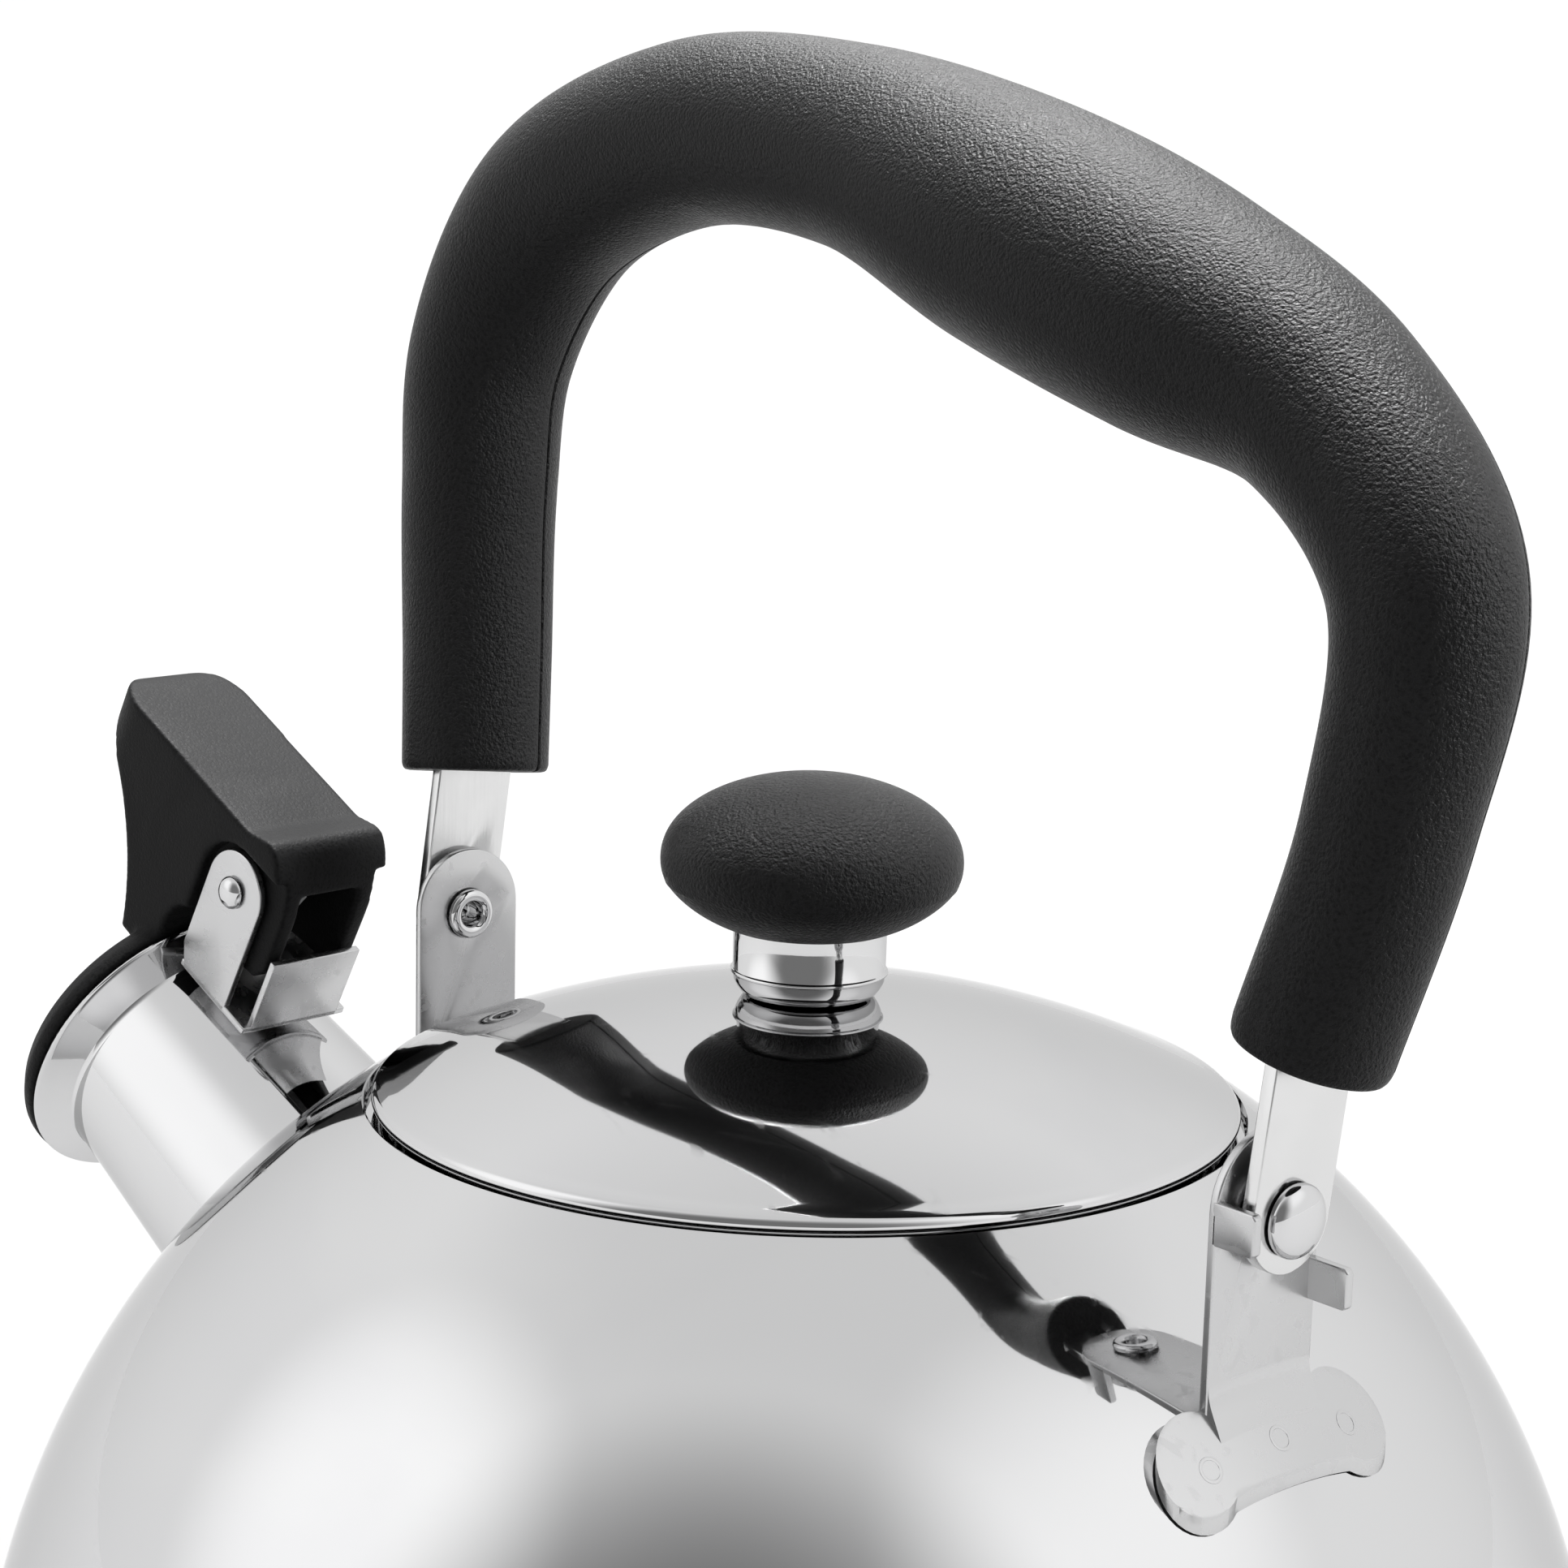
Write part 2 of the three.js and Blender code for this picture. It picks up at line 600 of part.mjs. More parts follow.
// ---- Whistle ------------------------------------------------------------------------------------
function whistleBracket() {
  const base = SPOUT_ROOT_R - 0.4;
  const [start, end] = [25, PIN_S + EAR_R - 1];
  const floor = box(start, end, -EAR_OUT, EAR_OUT, base, base + PLATE);
  const ear = (y0, y1) => {
    const shape = new THREE.Shape();
    shape.moveTo(PIN_S - EAR_R, base);
    shape.lineTo(PIN_S + EAR_R - 2, base);
    shape.lineTo(PIN_S + EAR_R, base + 4);
    shape.lineTo(PIN_S + EAR_R, PIN_P);
    shape.absarc(PIN_S, PIN_P, EAR_R, 0, Math.PI);
    return slab(shape, y0, y1);
  };
  const [tabTop, tabHalf] = [36.4, 8.4];
  const tab = box(start, start + PLATE, -tabHalf, tabHalf, base, tabTop);
  const bore = rod(PIN_BORE_R, -20, 20).rotateX(Math.PI / 2).translate(PIN_S, 0, PIN_P);
  return cut(join(floor, ear(-EAR_OUT, -EAR_OUT + PLATE), ear(EAR_OUT - PLATE, EAR_OUT), tab), bore);
}

const CAP_S = SPOUT_LENGTH + 0.5; // inner face of the whistle cap
const CAP_R = 26;

// Side outline of the lever: knuckle round the pin, finger tip at the top front, web down to the cap.
function leverShape() {
  const shape = new THREE.Shape();
  shape.moveTo(CAP_S, 19);
  shape.lineTo(CAP_S, 27);
  shape.quadraticCurveTo(CAP_S - 1, 32.5, 44.5, 32.5);
  shape.lineTo(39, 30);
  shape.lineTo(28.5, 31.5);
  shape.lineTo(26.8, 34);
  shape.lineTo(26.6, 42);
  shape.quadraticCurveTo(26.8, 49, 30, 53);
  shape.quadraticCurveTo(31.2, 54.6, 33, 54.6);
  shape.lineTo(38, 53);
  shape.lineTo(74, 53.6);
  shape.quadraticCurveTo(79.6, 53.6, 79.3, 48.5);
  shape.quadraticCurveTo(68, 42, 61.5, 30);
  shape.quadraticCurveTo(58.5, 24, 57.5, 19);
  return shape;
}

// The lever's outline from above, with the corners of the finger tip rounded off.
function leverPlan(halfWidth) {
  const [corner, tip] = [6, 79.3];
  const shape = new THREE.Shape();
  shape.moveTo(0, -halfWidth);
  shape.absarc(tip - corner, corner - halfWidth, corner, -Math.PI / 2, 0);
  shape.absarc(tip - corner, halfWidth - corner, corner, 0, Math.PI / 2);
  shape.lineTo(0, halfWidth);
  return slab(shape, 0, 80, 4).rotateX(Math.PI / 2);
}

function whistleLever() {
  const [core, wide] = [EAR_OUT - PLATE - GAP, EAR_OUT + 0.7];
  const shape = leverShape();
  const block = slab(shape, -core, core, 6);
  const reach = EAR_R + 1.2;
  const pocket = (side) => {
    const [y0, y1] = [core, wide + 1].map((y) => y * side).sort((a, b) => a - b);
    return box(0, PIN_S + reach, y0, y1, 0, PIN_P + reach);
  };
  const outer = cut(common(slab(shape, -wide, wide, 6), leverPlan(wide)), pocket(1), pocket(-1));
  const cap = turnAlongX([
    [4, CAP_S],
    [CAP_R, CAP_S],
    [CAP_R, CAP_S + 2],
    [CAP_R - 1.6, CAP_S + 4.6],
    [CAP_R - 6, CAP_S + 6],
    [4, CAP_S + 6],
  ], 36);
  const springSlot = box(15, PIN_S + 5.5, -5.5, 5.5, 28, PIN_P + 5.5);
  const bore = rod(PIN_BORE_R, -20, 20).rotateX(Math.PI / 2).translate(PIN_S, 0, PIN_P);
  return cut(join(common(block, leverPlan(wide)), outer, cap), springSlot, bore);
}

function whistleCup() {
  const [r, depth, hole] = [18, 3.2, 1.6];
  const back = CAP_S - GAP;
  return turnAlongX([
    [r, back],
    [r, back - depth],
    [hole, back - depth],
    [hole, back - depth + 0.6],
    [r - 0.6, back - depth + 0.6],
    [r - 0.6, back],
  ], 28);
}

function whistleDisc() {
  const [r, hole] = [17, 1.6];
  const back = CAP_S - GAP;
  return turnAlongX([[hole, back - 1.2], [r, back - 1.2], [r, back - 0.6], [hole, back - 0.6]], 28);
}

function hingePin() {
  const outer = EAR_OUT + GAP;
  const head = (side) => [
    [PIN_R, side * outer],
    [2.6, side * outer],
    [2.4, side * (outer + 0.9)],
    [1.2, side * (outer + 1.4)],
    [0, side * (outer + 1.5)],
  ];
  const outline = [...head(-1).reverse(), ...head(1)];
  return turn(outline, 16).rotateX(Math.PI / 2).translate(PIN_S, 0, PIN_P);
}

function leverSpring() {
  const [coilR, wireR, turns, pitch] = [3.4, 0.5, 3, 1.6];
  class Coil extends THREE.Curve {
    getPoint(t, target = new THREE.Vector3()) {
      const angle = 2 * Math.PI * turns * t;
      return target.set(
        PIN_S + coilR * Math.cos(angle), (t - 0.5) * turns * pitch, PIN_P + coilR * Math.sin(angle));
    }
  }
  const section = new THREE.Shape();
  section.absarc(0, 0, wireR, 0, 2 * Math.PI);
  return weld(new THREE.ExtrudeGeometry(section, {
    steps: 10 * turns,
    curveSegments: 3,
    extrudePath: new Coil(),
  }));
}

// ---- The assembly -------------------------------------------------------------------------------
add('body_shell', bodyShell(), POLISHED());
add('base_pan', basePan(), POLISHED());
add('heat_disc', heatDisc(), ALUMINIUM());
add('base_capsule', baseCapsule(), SATIN());
add('spout_tube', spoutTube(), POLISHED());
for (const [place, side] of [['front', -1], ['rear', 1]]) {
  add(`bracket_${place}`, bracket(side), POLISHED());
  add(`pivot_washer_${place}`, pivotWasher(side), SATIN());
  add(`pivot_rivet_${place}`, pivotRivet(side), POLISHED());
}
add('bail_strap', onHandle(bailStrap()), SATIN());
add('grip_main', onHandle(gripHalf(false)), PHENOLIC());
add('grip_cover', onHandle(gripHalf(true)), PHENOLIC());
add('grip_screw_front', onHandle(gripScrewAt(GRIP_SCREWS[0], 0)), SATIN());
add('grip_screw_rear', onHandle(gripScrewAt(GRIP_SCREWS[1], 0)), SATIN());
add('lid_dome', lidDome(), POLISHED());
add('lid_collar', lidCollar(), SATIN());
add('knob_ferrule', knobFerrule(), POLISHED());
add('knob', knob(), PHENOLIC());
add('knob_washer', knobWasher(), SATIN());
add('knob_screw', knobScrew(), SATIN());
add('whistle_bracket', onSpout(whistleBracket()), POLISHED());
add('hinge_pin', onSpout(hingePin()), POLISHED());
add('whistle_lever', onSpout(whistleLever()), PHENOLIC());
add('whistle_cup', onSpout(whistleCup()), SATIN());
add('whistle_disc', onSpout(whistleDisc()), SATIN());
add('lever_spring', onSpout(leverSpring()), SATIN());

export default kettle;
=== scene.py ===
# %% [markdown]
# # A stovetop whistling kettle
# The kettle is a ball of mirror-polished steel with a lift-off lid, a stubby spout closed by a
# sprung whistle lever, and a black bail handle that folds between two brackets. The mechanical
# frame fixes every size and every moving body. Here each visible piece is made again with fine
# curves and real surface finishes, in the same place, and rides on the body that it belongs to.

# %% Load the frame
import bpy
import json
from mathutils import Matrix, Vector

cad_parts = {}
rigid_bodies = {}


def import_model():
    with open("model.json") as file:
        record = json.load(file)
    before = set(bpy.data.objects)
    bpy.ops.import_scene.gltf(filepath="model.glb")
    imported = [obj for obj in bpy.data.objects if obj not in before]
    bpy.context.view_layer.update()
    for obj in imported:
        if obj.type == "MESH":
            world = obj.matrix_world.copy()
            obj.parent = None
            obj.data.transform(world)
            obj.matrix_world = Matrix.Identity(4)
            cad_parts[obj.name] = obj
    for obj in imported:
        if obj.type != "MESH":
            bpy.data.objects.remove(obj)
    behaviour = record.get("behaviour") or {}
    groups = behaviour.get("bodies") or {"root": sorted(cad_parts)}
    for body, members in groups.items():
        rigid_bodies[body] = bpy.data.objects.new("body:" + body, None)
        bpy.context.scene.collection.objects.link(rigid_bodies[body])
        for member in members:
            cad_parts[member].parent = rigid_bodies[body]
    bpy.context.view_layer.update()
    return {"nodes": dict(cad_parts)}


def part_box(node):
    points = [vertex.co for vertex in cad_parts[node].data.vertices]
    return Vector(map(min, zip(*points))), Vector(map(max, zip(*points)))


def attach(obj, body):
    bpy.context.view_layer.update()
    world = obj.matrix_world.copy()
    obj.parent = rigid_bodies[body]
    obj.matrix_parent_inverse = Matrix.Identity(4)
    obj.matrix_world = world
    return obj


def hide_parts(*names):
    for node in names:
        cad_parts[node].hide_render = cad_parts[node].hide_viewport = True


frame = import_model()

import json
import math
from math import cos, pi, radians, sin, sqrt

import bmesh
import bpy
from mathutils import Matrix, Vector

MM = 0.001
scene = bpy.context.scene


# %% [markdown]
# The main sizes are read back from the frame, so that the fine pieces follow it. A few slopes and
# angles can't be read from a box, and they are named here once, in millimetres and degrees.

# %% Sizes
def size_of(node):
    low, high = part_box(node)
    return [v / MM for v in low], [v / MM for v in high]


GAP = 0.3
SHEET = 0.8
BODY_R = size_of("body_shell")[1][0]
SEAM_Z = size_of("body_shell")[0][2]
BODY_Z = 45.7
BASE_R = size_of("base_capsule")[1][0]
CAPSULE_TOP = size_of("base_capsule")[1][2]
FLOOR_Z = size_of("base_pan")[0][2]
LID_R = size_of("lid_dome")[1][0]
LID_RISE = 12.5
LID_Z = size_of("lid_dome")[1][2] - LID_RISE
NECK_R = 53.0
KNOB_R = 20.1
KNOB_TOP = size_of("knob")[1][2]
KNOB_HALF_H = 10.9
KNOB_Z = KNOB_TOP - KNOB_HALF_H
FERRULE_R = size_of("knob_ferrule")[1][0]
PIVOT_X = 79.5
PIVOT_Z = 144.7
PLATE = 1.2
BRACKET_W = 17.5
STRAP_T = 2.0
STRAP_W = 13.0
STRAP_X = PIVOT_X + PLATE / 2 + GAP + 0.8 + GAP + STRAP_T / 2
LEAN = 7.0
AXLE_TILT = 1.3
print(f"ball {2 * BODY_R:.0f} mm across, lid {2 * LID_R:.0f} mm, knob centre at {KNOB_Z:.1f} mm")


# %% [markdown]
# ## Mesh helpers
# Almost everything on a kettle is turned, pressed from sheet or swept along a bent line. So four
# small helpers cover it: one makes an object from points, one turns an outline about an axis, one
# gives a drawn outline its thickness, and one skins a row of rings. Plain mesh code is used
# because it gives exact sizes and the same result each run.

# %% From points to an object
def new_piece(name, points, faces, smooth=40):
    mesh = bpy.data.meshes.new(name)
    mesh.from_pydata([[c * MM for c in p] for p in points], [], faces)
    work = bmesh.new()
    work.from_mesh(mesh)
    bmesh.ops.remove_doubles(work, verts=work.verts, dist=0.002 * MM)
    bmesh.ops.dissolve_degenerate(work, edges=work.edges, dist=0.001 * MM)
    bmesh.ops.recalc_face_normals(work, faces=work.faces)
    work.to_mesh(mesh)
    work.free()
    piece = bpy.data.objects.new(name, mesh)
    scene.collection.objects.link(piece)
    shade(piece, smooth)
    return piece


def shade(piece, smooth=40):
    piece.data.shade_smooth()
    piece.data.set_sharp_from_angle(angle=radians(smooth))


def moved(piece, matrix):
    """Moves the mesh itself, so that the object stays at the origin."""
    shift = matrix.copy()
    shift.translation = shift.translation * MM
    piece.data.transform(shift)
    return piece


def settle(piece, smooth=40):
    """Turns the modifiers into plain mesh."""
    graph = bpy.context.evaluated_depsgraph_get()
    done = bpy.data.meshes.new_from_object(piece.evaluated_get(graph))
    piece.modifiers.clear()
    piece.data = done
    shade(piece, smooth)
    return piece


# %% Turned pieces
def arc(r, z, radius, start, end, steps):
    """Points on a circle about (r, z), from one angle to another in degrees."""
    angles = [radians(start + (end - start) * i / steps) for i in range(steps + 1)]
    return [(r + radius * cos(a), z + radius * sin(a)) for a in angles]


def turned(name, outline, segments=128, smooth=40):
    """A closed outline of (radius, height) points, turned about Z."""
    points = []
    faces = []
    for step in range(segments):
        angle = 2 * pi * step / segments
        points += [(r * cos(angle), r * sin(angle), z) for r, z in outline]
    count = len(outline)
    for step in range(segments):
        here = step * count
        there = (step + 1) % segments * count
        for i in range(count):
            j = (i + 1) % count
            if outline[i][0] < 1e-6 and outline[j][0] < 1e-6:
                continue
            faces.append((here + i, there + i, there + j, here + j))
    return new_piece(name, points, faces, smooth)


# %% Pressed and swept pieces
def slab(name, outline, low, high, round_edge=0.0, smooth=40):
    """An outline of (x, z) points with thickness from y = low to y = high, its edges rounded."""
    count = len(outline)
    points = [(x, low, z) for x, z in outline] + [(x, high, z) for x, z in outline]
    faces = [tuple(range(count)), tuple(range(2 * count - 1, count - 1, -1))]
    faces += [(i, (i + 1) % count, count + (i + 1) % count, count + i) for i in range(count)]
    piece = new_piece(name, points, faces, smooth)
    return rounded(piece, round_edge, smooth) if round_edge else piece


def rounded(piece, width, smooth=40, segments=3, angle=40):
    bevel = piece.modifiers.new("edges", "BEVEL")
    bevel.width = width * MM
    bevel.segments = segments
    bevel.limit_method = "ANGLE"
    bevel.angle_limit = radians(angle)
    bevel.harden_normals = False
    return settle(piece, smooth)


def skinned(name, rings, smooth=40):
    """Rings of points joined one to the next, with flat ends."""
    count = len(rings[0])
    points = [p for ring in rings for p in ring]
    faces = []
    for i in range(len(rings) - 1):
        for j in range(count):
            k = (j + 1) % count
            faces.append((i * count + j, i * count + k, (i + 1) * count + k, (i + 1) * count + j))
    faces.append(tuple(range(count - 1, -1, -1)))
    faces.append(tuple(range((len(rings) - 1) * count, len(rings) * count)))
    return new_piece(name, points, faces, smooth)


# %% Cutting and joining
def combined(piece, others, how, smooth=40):
    """Cuts the others away from a piece, joins them to it or keeps what they share."""
    for other in others:
        step = piece.modifiers.new("solid", "BOOLEAN")
        step.operation = how
        step.solver = "EXACT"
        step.object = other
    settle(piece, smooth)
    for other in others:
        bpy.data.objects.remove(other)
    return piece


def gathered(name, pieces):
    """Several meshes as one object, such as a plate with the spot-welded foot under it."""
    work = bmesh.new()
    for piece in pieces:
        work.from_mesh(piece.data)
    mesh = bpy.data.meshes.new(name)
    work.to_mesh(mesh)
    work.free()
    for piece in pieces:
        bpy.data.objects.remove(piece)
    whole = bpy.data.objects.new(name, mesh)
    scene.collection.objects.link(whole)
    shade(whole)
    return whole


def fitted(piece, body, slot, material, *nodes):
    """Gives a finished piece its material and body, and hides the frame nodes it stands for; slot is not
    used.
    """
    piece.data.materials.clear()
    piece.data.materials.append(material)
    if nodes:
        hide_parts(*nodes)
    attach(piece, body)
    print(f"{piece.name}: {len(piece.data.polygons)} faces on {body}")
    return piece


# %% [markdown]
# ## Where groups of pieces sit
# The spout, its bracket and the lever are drawn in the spout's own axes: X along the tube, Z square
# to it. The handle is drawn upright with its height measured from the pivots, then leaned to rest.

# %% Places
SPOUT_TURN = 7.0
SPOUT_TILT = 28.5
SPOUT_REACH = 97.8
SPOUT_Z = 92.6
SPOUT_PLACE = (
    Matrix.Rotation(radians(180 + SPOUT_TURN), 4, "Z")
    @ Matrix.Translation((SPOUT_REACH, 0, SPOUT_Z))
    @ Matrix.Rotation(radians(-SPOUT_TILT), 4, "Y")
)
HANDLE_PLACE = Matrix.Translation((0, 0, PIVOT_Z)) @ Matrix.Rotation(radians(-LEAN), 4, "X")
ALONG_X = Matrix.Rotation(radians(90), 4, "Y")
AXLE_TURN = Matrix.Rotation(radians(AXLE_TILT), 4, "Y")
LEAN_TURN = Matrix.Rotation(radians(-LEAN), 4, "X")
AXLE_ON_HANDLE = LEAN_TURN.inverted() @ AXLE_TURN @ LEAN_TURN


def pivot_height(side):
    return PIVOT_Z - side * PIVOT_X * math.tan(radians(AXLE_TILT))


# %% [markdown]
# ## Surface effects shared by several materials
# Both steels and the black plastic carry faint wipe marks, the polished steel has hairline scratches
# as well, and every finish shows a trace of wear on its edges. Each effect is a node group, built
# once and given its own amounts in each material. The groups only put out masks and heights, and the
# shader stays in the material, where its gloss can be read.

# %% A group maker
def effect_group(name, inputs, outputs):
    group = bpy.data.node_groups.new(name, "ShaderNodeTree")
    for label, value in inputs:
        kind = "NodeSocketVector" if value is None else "NodeSocketFloat"
        socket = group.interface.new_socket(label, in_out="INPUT", socket_type=kind)
        if value is not None:
            socket.default_value = value
    for label in outputs:
        group.interface.new_socket(label, in_out="OUTPUT", socket_type="NodeSocketFloat")
    return group, group.nodes.new("NodeGroupInput"), group.nodes.new("NodeGroupOutput")


def node(tree, kind, links=(), **settings):
    """A node with its settings, its plain input values and its links made in one go."""
    made = tree.nodes.new(kind)
    for key, value in settings.items():
        setattr(made, key, value)
    for socket, source in dict(links).items():
        if isinstance(source, bpy.types.NodeSocket):
            tree.links.new(source, made.inputs[socket])
        else:
            made.inputs[socket].default_value = source
    return made


def maths(tree, operation, first, second=0.0, clamp=False):
    made = node(tree, "ShaderNodeMath", {0: first, 1: second}, operation=operation, use_clamp=clamp)
    return made.outputs[0]


def ranged(tree, value, low, high, out_low=0.0, out_high=1.0):
    links = {"Value": value, "From Min": low, "From Max": high, "To Min": out_low, "To Max": out_high}
    return node(tree, "ShaderNodeMapRange", links, interpolation_type="SMOOTHSTEP").outputs["Result"]


# %% Wipe marks: broad soft patches where polish was wiped off
def make_wipe_marks():
    group, start, end = effect_group("wipe_marks", [("Vector", None), ("Scale", 14.0)], ["Mask"])
    broad = node(group, "ShaderNodeTexNoise", {
        "Vector": start.outputs["Vector"], "Scale": start.outputs["Scale"], "Detail": 3.0,
        "Roughness": 0.55, "Distortion": 0.8})
    group.links.new(ranged(group, broad.outputs["Fac"], 0.42, 0.68), end.inputs["Mask"])
    return group


# %% Hairlines: thin scratches, made from a noise stretched along one direction and cut thin
def make_hairlines():
    group, start, end = effect_group(
        "hairlines", [("Vector", None), ("Scale", 300.0), ("Stretch", 0.04)], ["Mask"])
    squeeze = node(group, "ShaderNodeCombineXYZ", {"X": start.outputs["Stretch"], "Y": 1.0, "Z": 1.0})
    masks = []
    for turn in (18.0, -33.0):
        turned_vector = node(group, "ShaderNodeVectorRotate", {
            "Vector": start.outputs["Vector"], "Axis": (0.3, 0.4, 0.9), "Angle": radians(turn)})
        scaled = node(group, "ShaderNodeVectorMath", {
            0: turned_vector.outputs[0], 1: squeeze.outputs[0]}, operation="MULTIPLY")
        lines = node(group, "ShaderNodeTexNoise", {
            "Vector": scaled.outputs[0], "Scale": start.outputs["Scale"], "Detail": 2.0})
        masks.append(ranged(group, lines.outputs["Fac"], 0.62, 0.70))
    group.links.new(maths(group, "MAXIMUM", masks[0], masks[1]), end.inputs["Mask"])
    return group


# %% Edge wear: picks out convex edges and breaks them up
def make_edge_wear():
    group, start, end = effect_group(
        "edge_wear", [("Vector", None), ("Scale", 120.0), ("Amount", 0.5)], ["Mask"])
    shape = node(group, "ShaderNodeNewGeometry")
    breaks = node(group, "ShaderNodeTexNoise", {
        "Vector": start.outputs["Vector"], "Scale": start.outputs["Scale"], "Detail": 4.0})
    edge = ranged(group, shape.outputs["Pointiness"], 0.515, 0.60)
    broken = maths(group, "MULTIPLY", edge, ranged(group, breaks.outputs["Fac"], 0.35, 0.65))
    group.links.new(maths(group, "MULTIPLY", broken, start.outputs["Amount"]), end.inputs["Mask"])
    return group


# %% Moulded grain: the sand-blasted skin of the mould, small rounded pits of two sizes
def make_moulded_grain():
    group, start, end = effect_group(
        "moulded_grain", [("Vector", None), ("Scale", 1500.0)], ["Height", "Pits"])
    fine = node(group, "ShaderNodeTexNoise", {
        "Vector": start.outputs["Vector"], "Scale": start.outputs["Scale"], "Detail": 2.0,
        "Roughness": 0.6})
    half = maths(group, "MULTIPLY", start.outputs["Scale"], 0.5)
    cells = node(group, "ShaderNodeTexVoronoi", {
        "Vector": start.outputs["Vector"], "Scale": half, "Smoothness": 0.6},
        feature="SMOOTH_F1")
    pits = ranged(group, cells.outputs["Distance"], 0.15, 0.65)
    grain = maths(group, "MULTIPLY", ranged(group, fine.outputs["Fac"], 0.3, 0.7), 0.6)
    group.links.new(maths(group, "ADD", grain, maths(group, "MULTIPLY", pits, 0.6)), end.inputs["Height"])
    group.links.new(pits, end.inputs["Pits"])
    return group


wipe_marks = make_wipe_marks()
hairlines = make_hairlines()
edge_wear = make_edge_wear()
moulded_grain = make_moulded_grain()
print("effect groups:", [g.name for g in bpy.data.node_groups])


# %% [markdown]
# ## Materials
# A material starts from one Principled shader. The constants that set its gloss go straight on the
# shader's sockets, and only what changes over the surface comes in through the groups above.

# %% A blank material
def blank(name, **sockets):
    material = bpy.data.materials.new(name)
    material.use_nodes = True
    tree = material.node_tree
    shader = tree.nodes["Principled BSDF"]
    for label, value in sockets.items():
        shader.inputs[label.replace("_", " ")].default_value = value
    where = node(tree, "ShaderNodeTexCoord").outputs["Object"]
    return material, tree, shader, where


def placed(tree, group, **links):
    made = node(tree, "ShaderNodeGroup", node_tree=group)
    for label, source in links.items():
        if isinstance(source, bpy.types.NodeSocket):
            tree.links.new(source, made.inputs[label])
        else:
            made.inputs[label].default_value = source
    return made


def mixed(tree, factor, first, second):
    """Two colours mixed by a mask."""
    made = node(tree, "ShaderNodeMix", data_type="RGBA")
    tree.links.new(factor, made.inputs[0])
    made.inputs[6].default_value = (*first, 1)
    made.inputs[7].default_value = (*second, 1)
    return made.outputs[2]


# %% Mirror-polished steel: the pressed shell, lid, spout and brackets
def mirror_steel(name, tone=0.68, roughness=0.03, marks=1.0):
    material, tree, shader, where = blank(name, Metallic=1.0)
    shader.inputs["Specular Tint"].default_value = (0.72, 0.72, 0.72, 1)
    wiped = placed(tree, wipe_marks, Vector=where, Scale=16.0).outputs["Mask"]
    scratched = placed(tree, hairlines, Vector=where, Scale=420.0, Stretch=0.03).outputs["Mask"]
    worn = placed(tree, edge_wear, Vector=where, Scale=180.0, Amount=0.6).outputs["Mask"]
    gloss = maths(tree, "ADD", maths(tree, "MULTIPLY", wiped, 0.018 * marks), roughness)
    gloss = maths(tree, "ADD", gloss, maths(tree, "MULTIPLY", scratched, 0.05 * marks))
    gloss = maths(tree, "ADD", gloss, maths(tree, "MULTIPLY", worn, 0.12), clamp=True)
    tree.links.new(gloss, shader.inputs["Roughness"])
    colour = mixed(tree, wiped, (tone, tone, tone * 1.005), (tone * 0.97, tone * 0.97, tone * 0.98))
    tree.links.new(colour, shader.inputs["Base Color"])
    pressing = node(tree, "ShaderNodeTexNoise", {"Vector": where, "Scale": 26.0, "Detail": 1.0})
    height = maths(tree, "ADD", pressing.outputs["Fac"], maths(tree, "MULTIPLY", scratched, -0.004))
    bump = node(tree, "ShaderNodeBump", {"Height": height, "Strength": 0.05, "Distance": 0.0006})
    tree.links.new(bump.outputs["Normal"], shader.inputs["Normal"])
    return material


# %% Satin steel: the base, the handle's strap and the small fittings
def satin_steel(name, tone=0.62, roughness=0.24):
    material, tree, shader, where = blank(name, Metallic=1.0)
    brushed = node(tree, "ShaderNodeVectorMath", {0: where, 1: (1.0, 1.0, 0.02)}, operation="MULTIPLY")
    lines = node(tree, "ShaderNodeTexNoise", {
        "Vector": brushed.outputs[0], "Scale": 2600.0, "Detail": 2.0})
    wiped = placed(tree, wipe_marks, Vector=where, Scale=30.0).outputs["Mask"]
    worn = placed(tree, edge_wear, Vector=where, Scale=200.0, Amount=1.0).outputs["Mask"]
    gloss = maths(tree, "ADD", maths(tree, "MULTIPLY", lines.outputs["Fac"], 0.12), roughness - 0.06)
    gloss = maths(tree, "ADD", gloss, maths(tree, "MULTIPLY", wiped, 0.06))
    tree.links.new(gloss, shader.inputs["Roughness"])
    colour = mixed(tree, worn, (tone, tone, tone), (tone * 1.15, tone * 1.15, tone * 1.15))
    tree.links.new(colour, shader.inputs["Base Color"])
    bump = node(tree, "ShaderNodeBump", {
        "Height": lines.outputs["Fac"], "Strength": 0.12, "Distance": 0.00004})
    tree.links.new(bump.outputs["Normal"], shader.inputs["Normal"])
    return material


# %% Rolled aluminium: the edge of the heat-spreading disc under the pan
def rolled_aluminium(name):
    material, tree, shader, where = blank(name, Metallic=1.0)
    grain = node(tree, "ShaderNodeTexNoise", {"Vector": where, "Scale": 900.0, "Detail": 4.0})
    tree.links.new(ranged(tree, grain.outputs["Fac"], 0.2, 0.8, 0.38, 0.55), shader.inputs["Roughness"])
    worn = placed(tree, edge_wear, Vector=where, Scale=150.0, Amount=1.0).outputs["Mask"]
    tree.links.new(mixed(tree, worn, (0.66, 0.67, 0.68), (0.8, 0.8, 0.81)), shader.inputs["Base Color"])
    bump = node(tree, "ShaderNodeBump", {"Height": grain.outputs["Fac"], "Strength": 0.2, "Distance": 0.0001})
    tree.links.new(bump.outputs["Normal"], shader.inputs["Normal"])
    return material
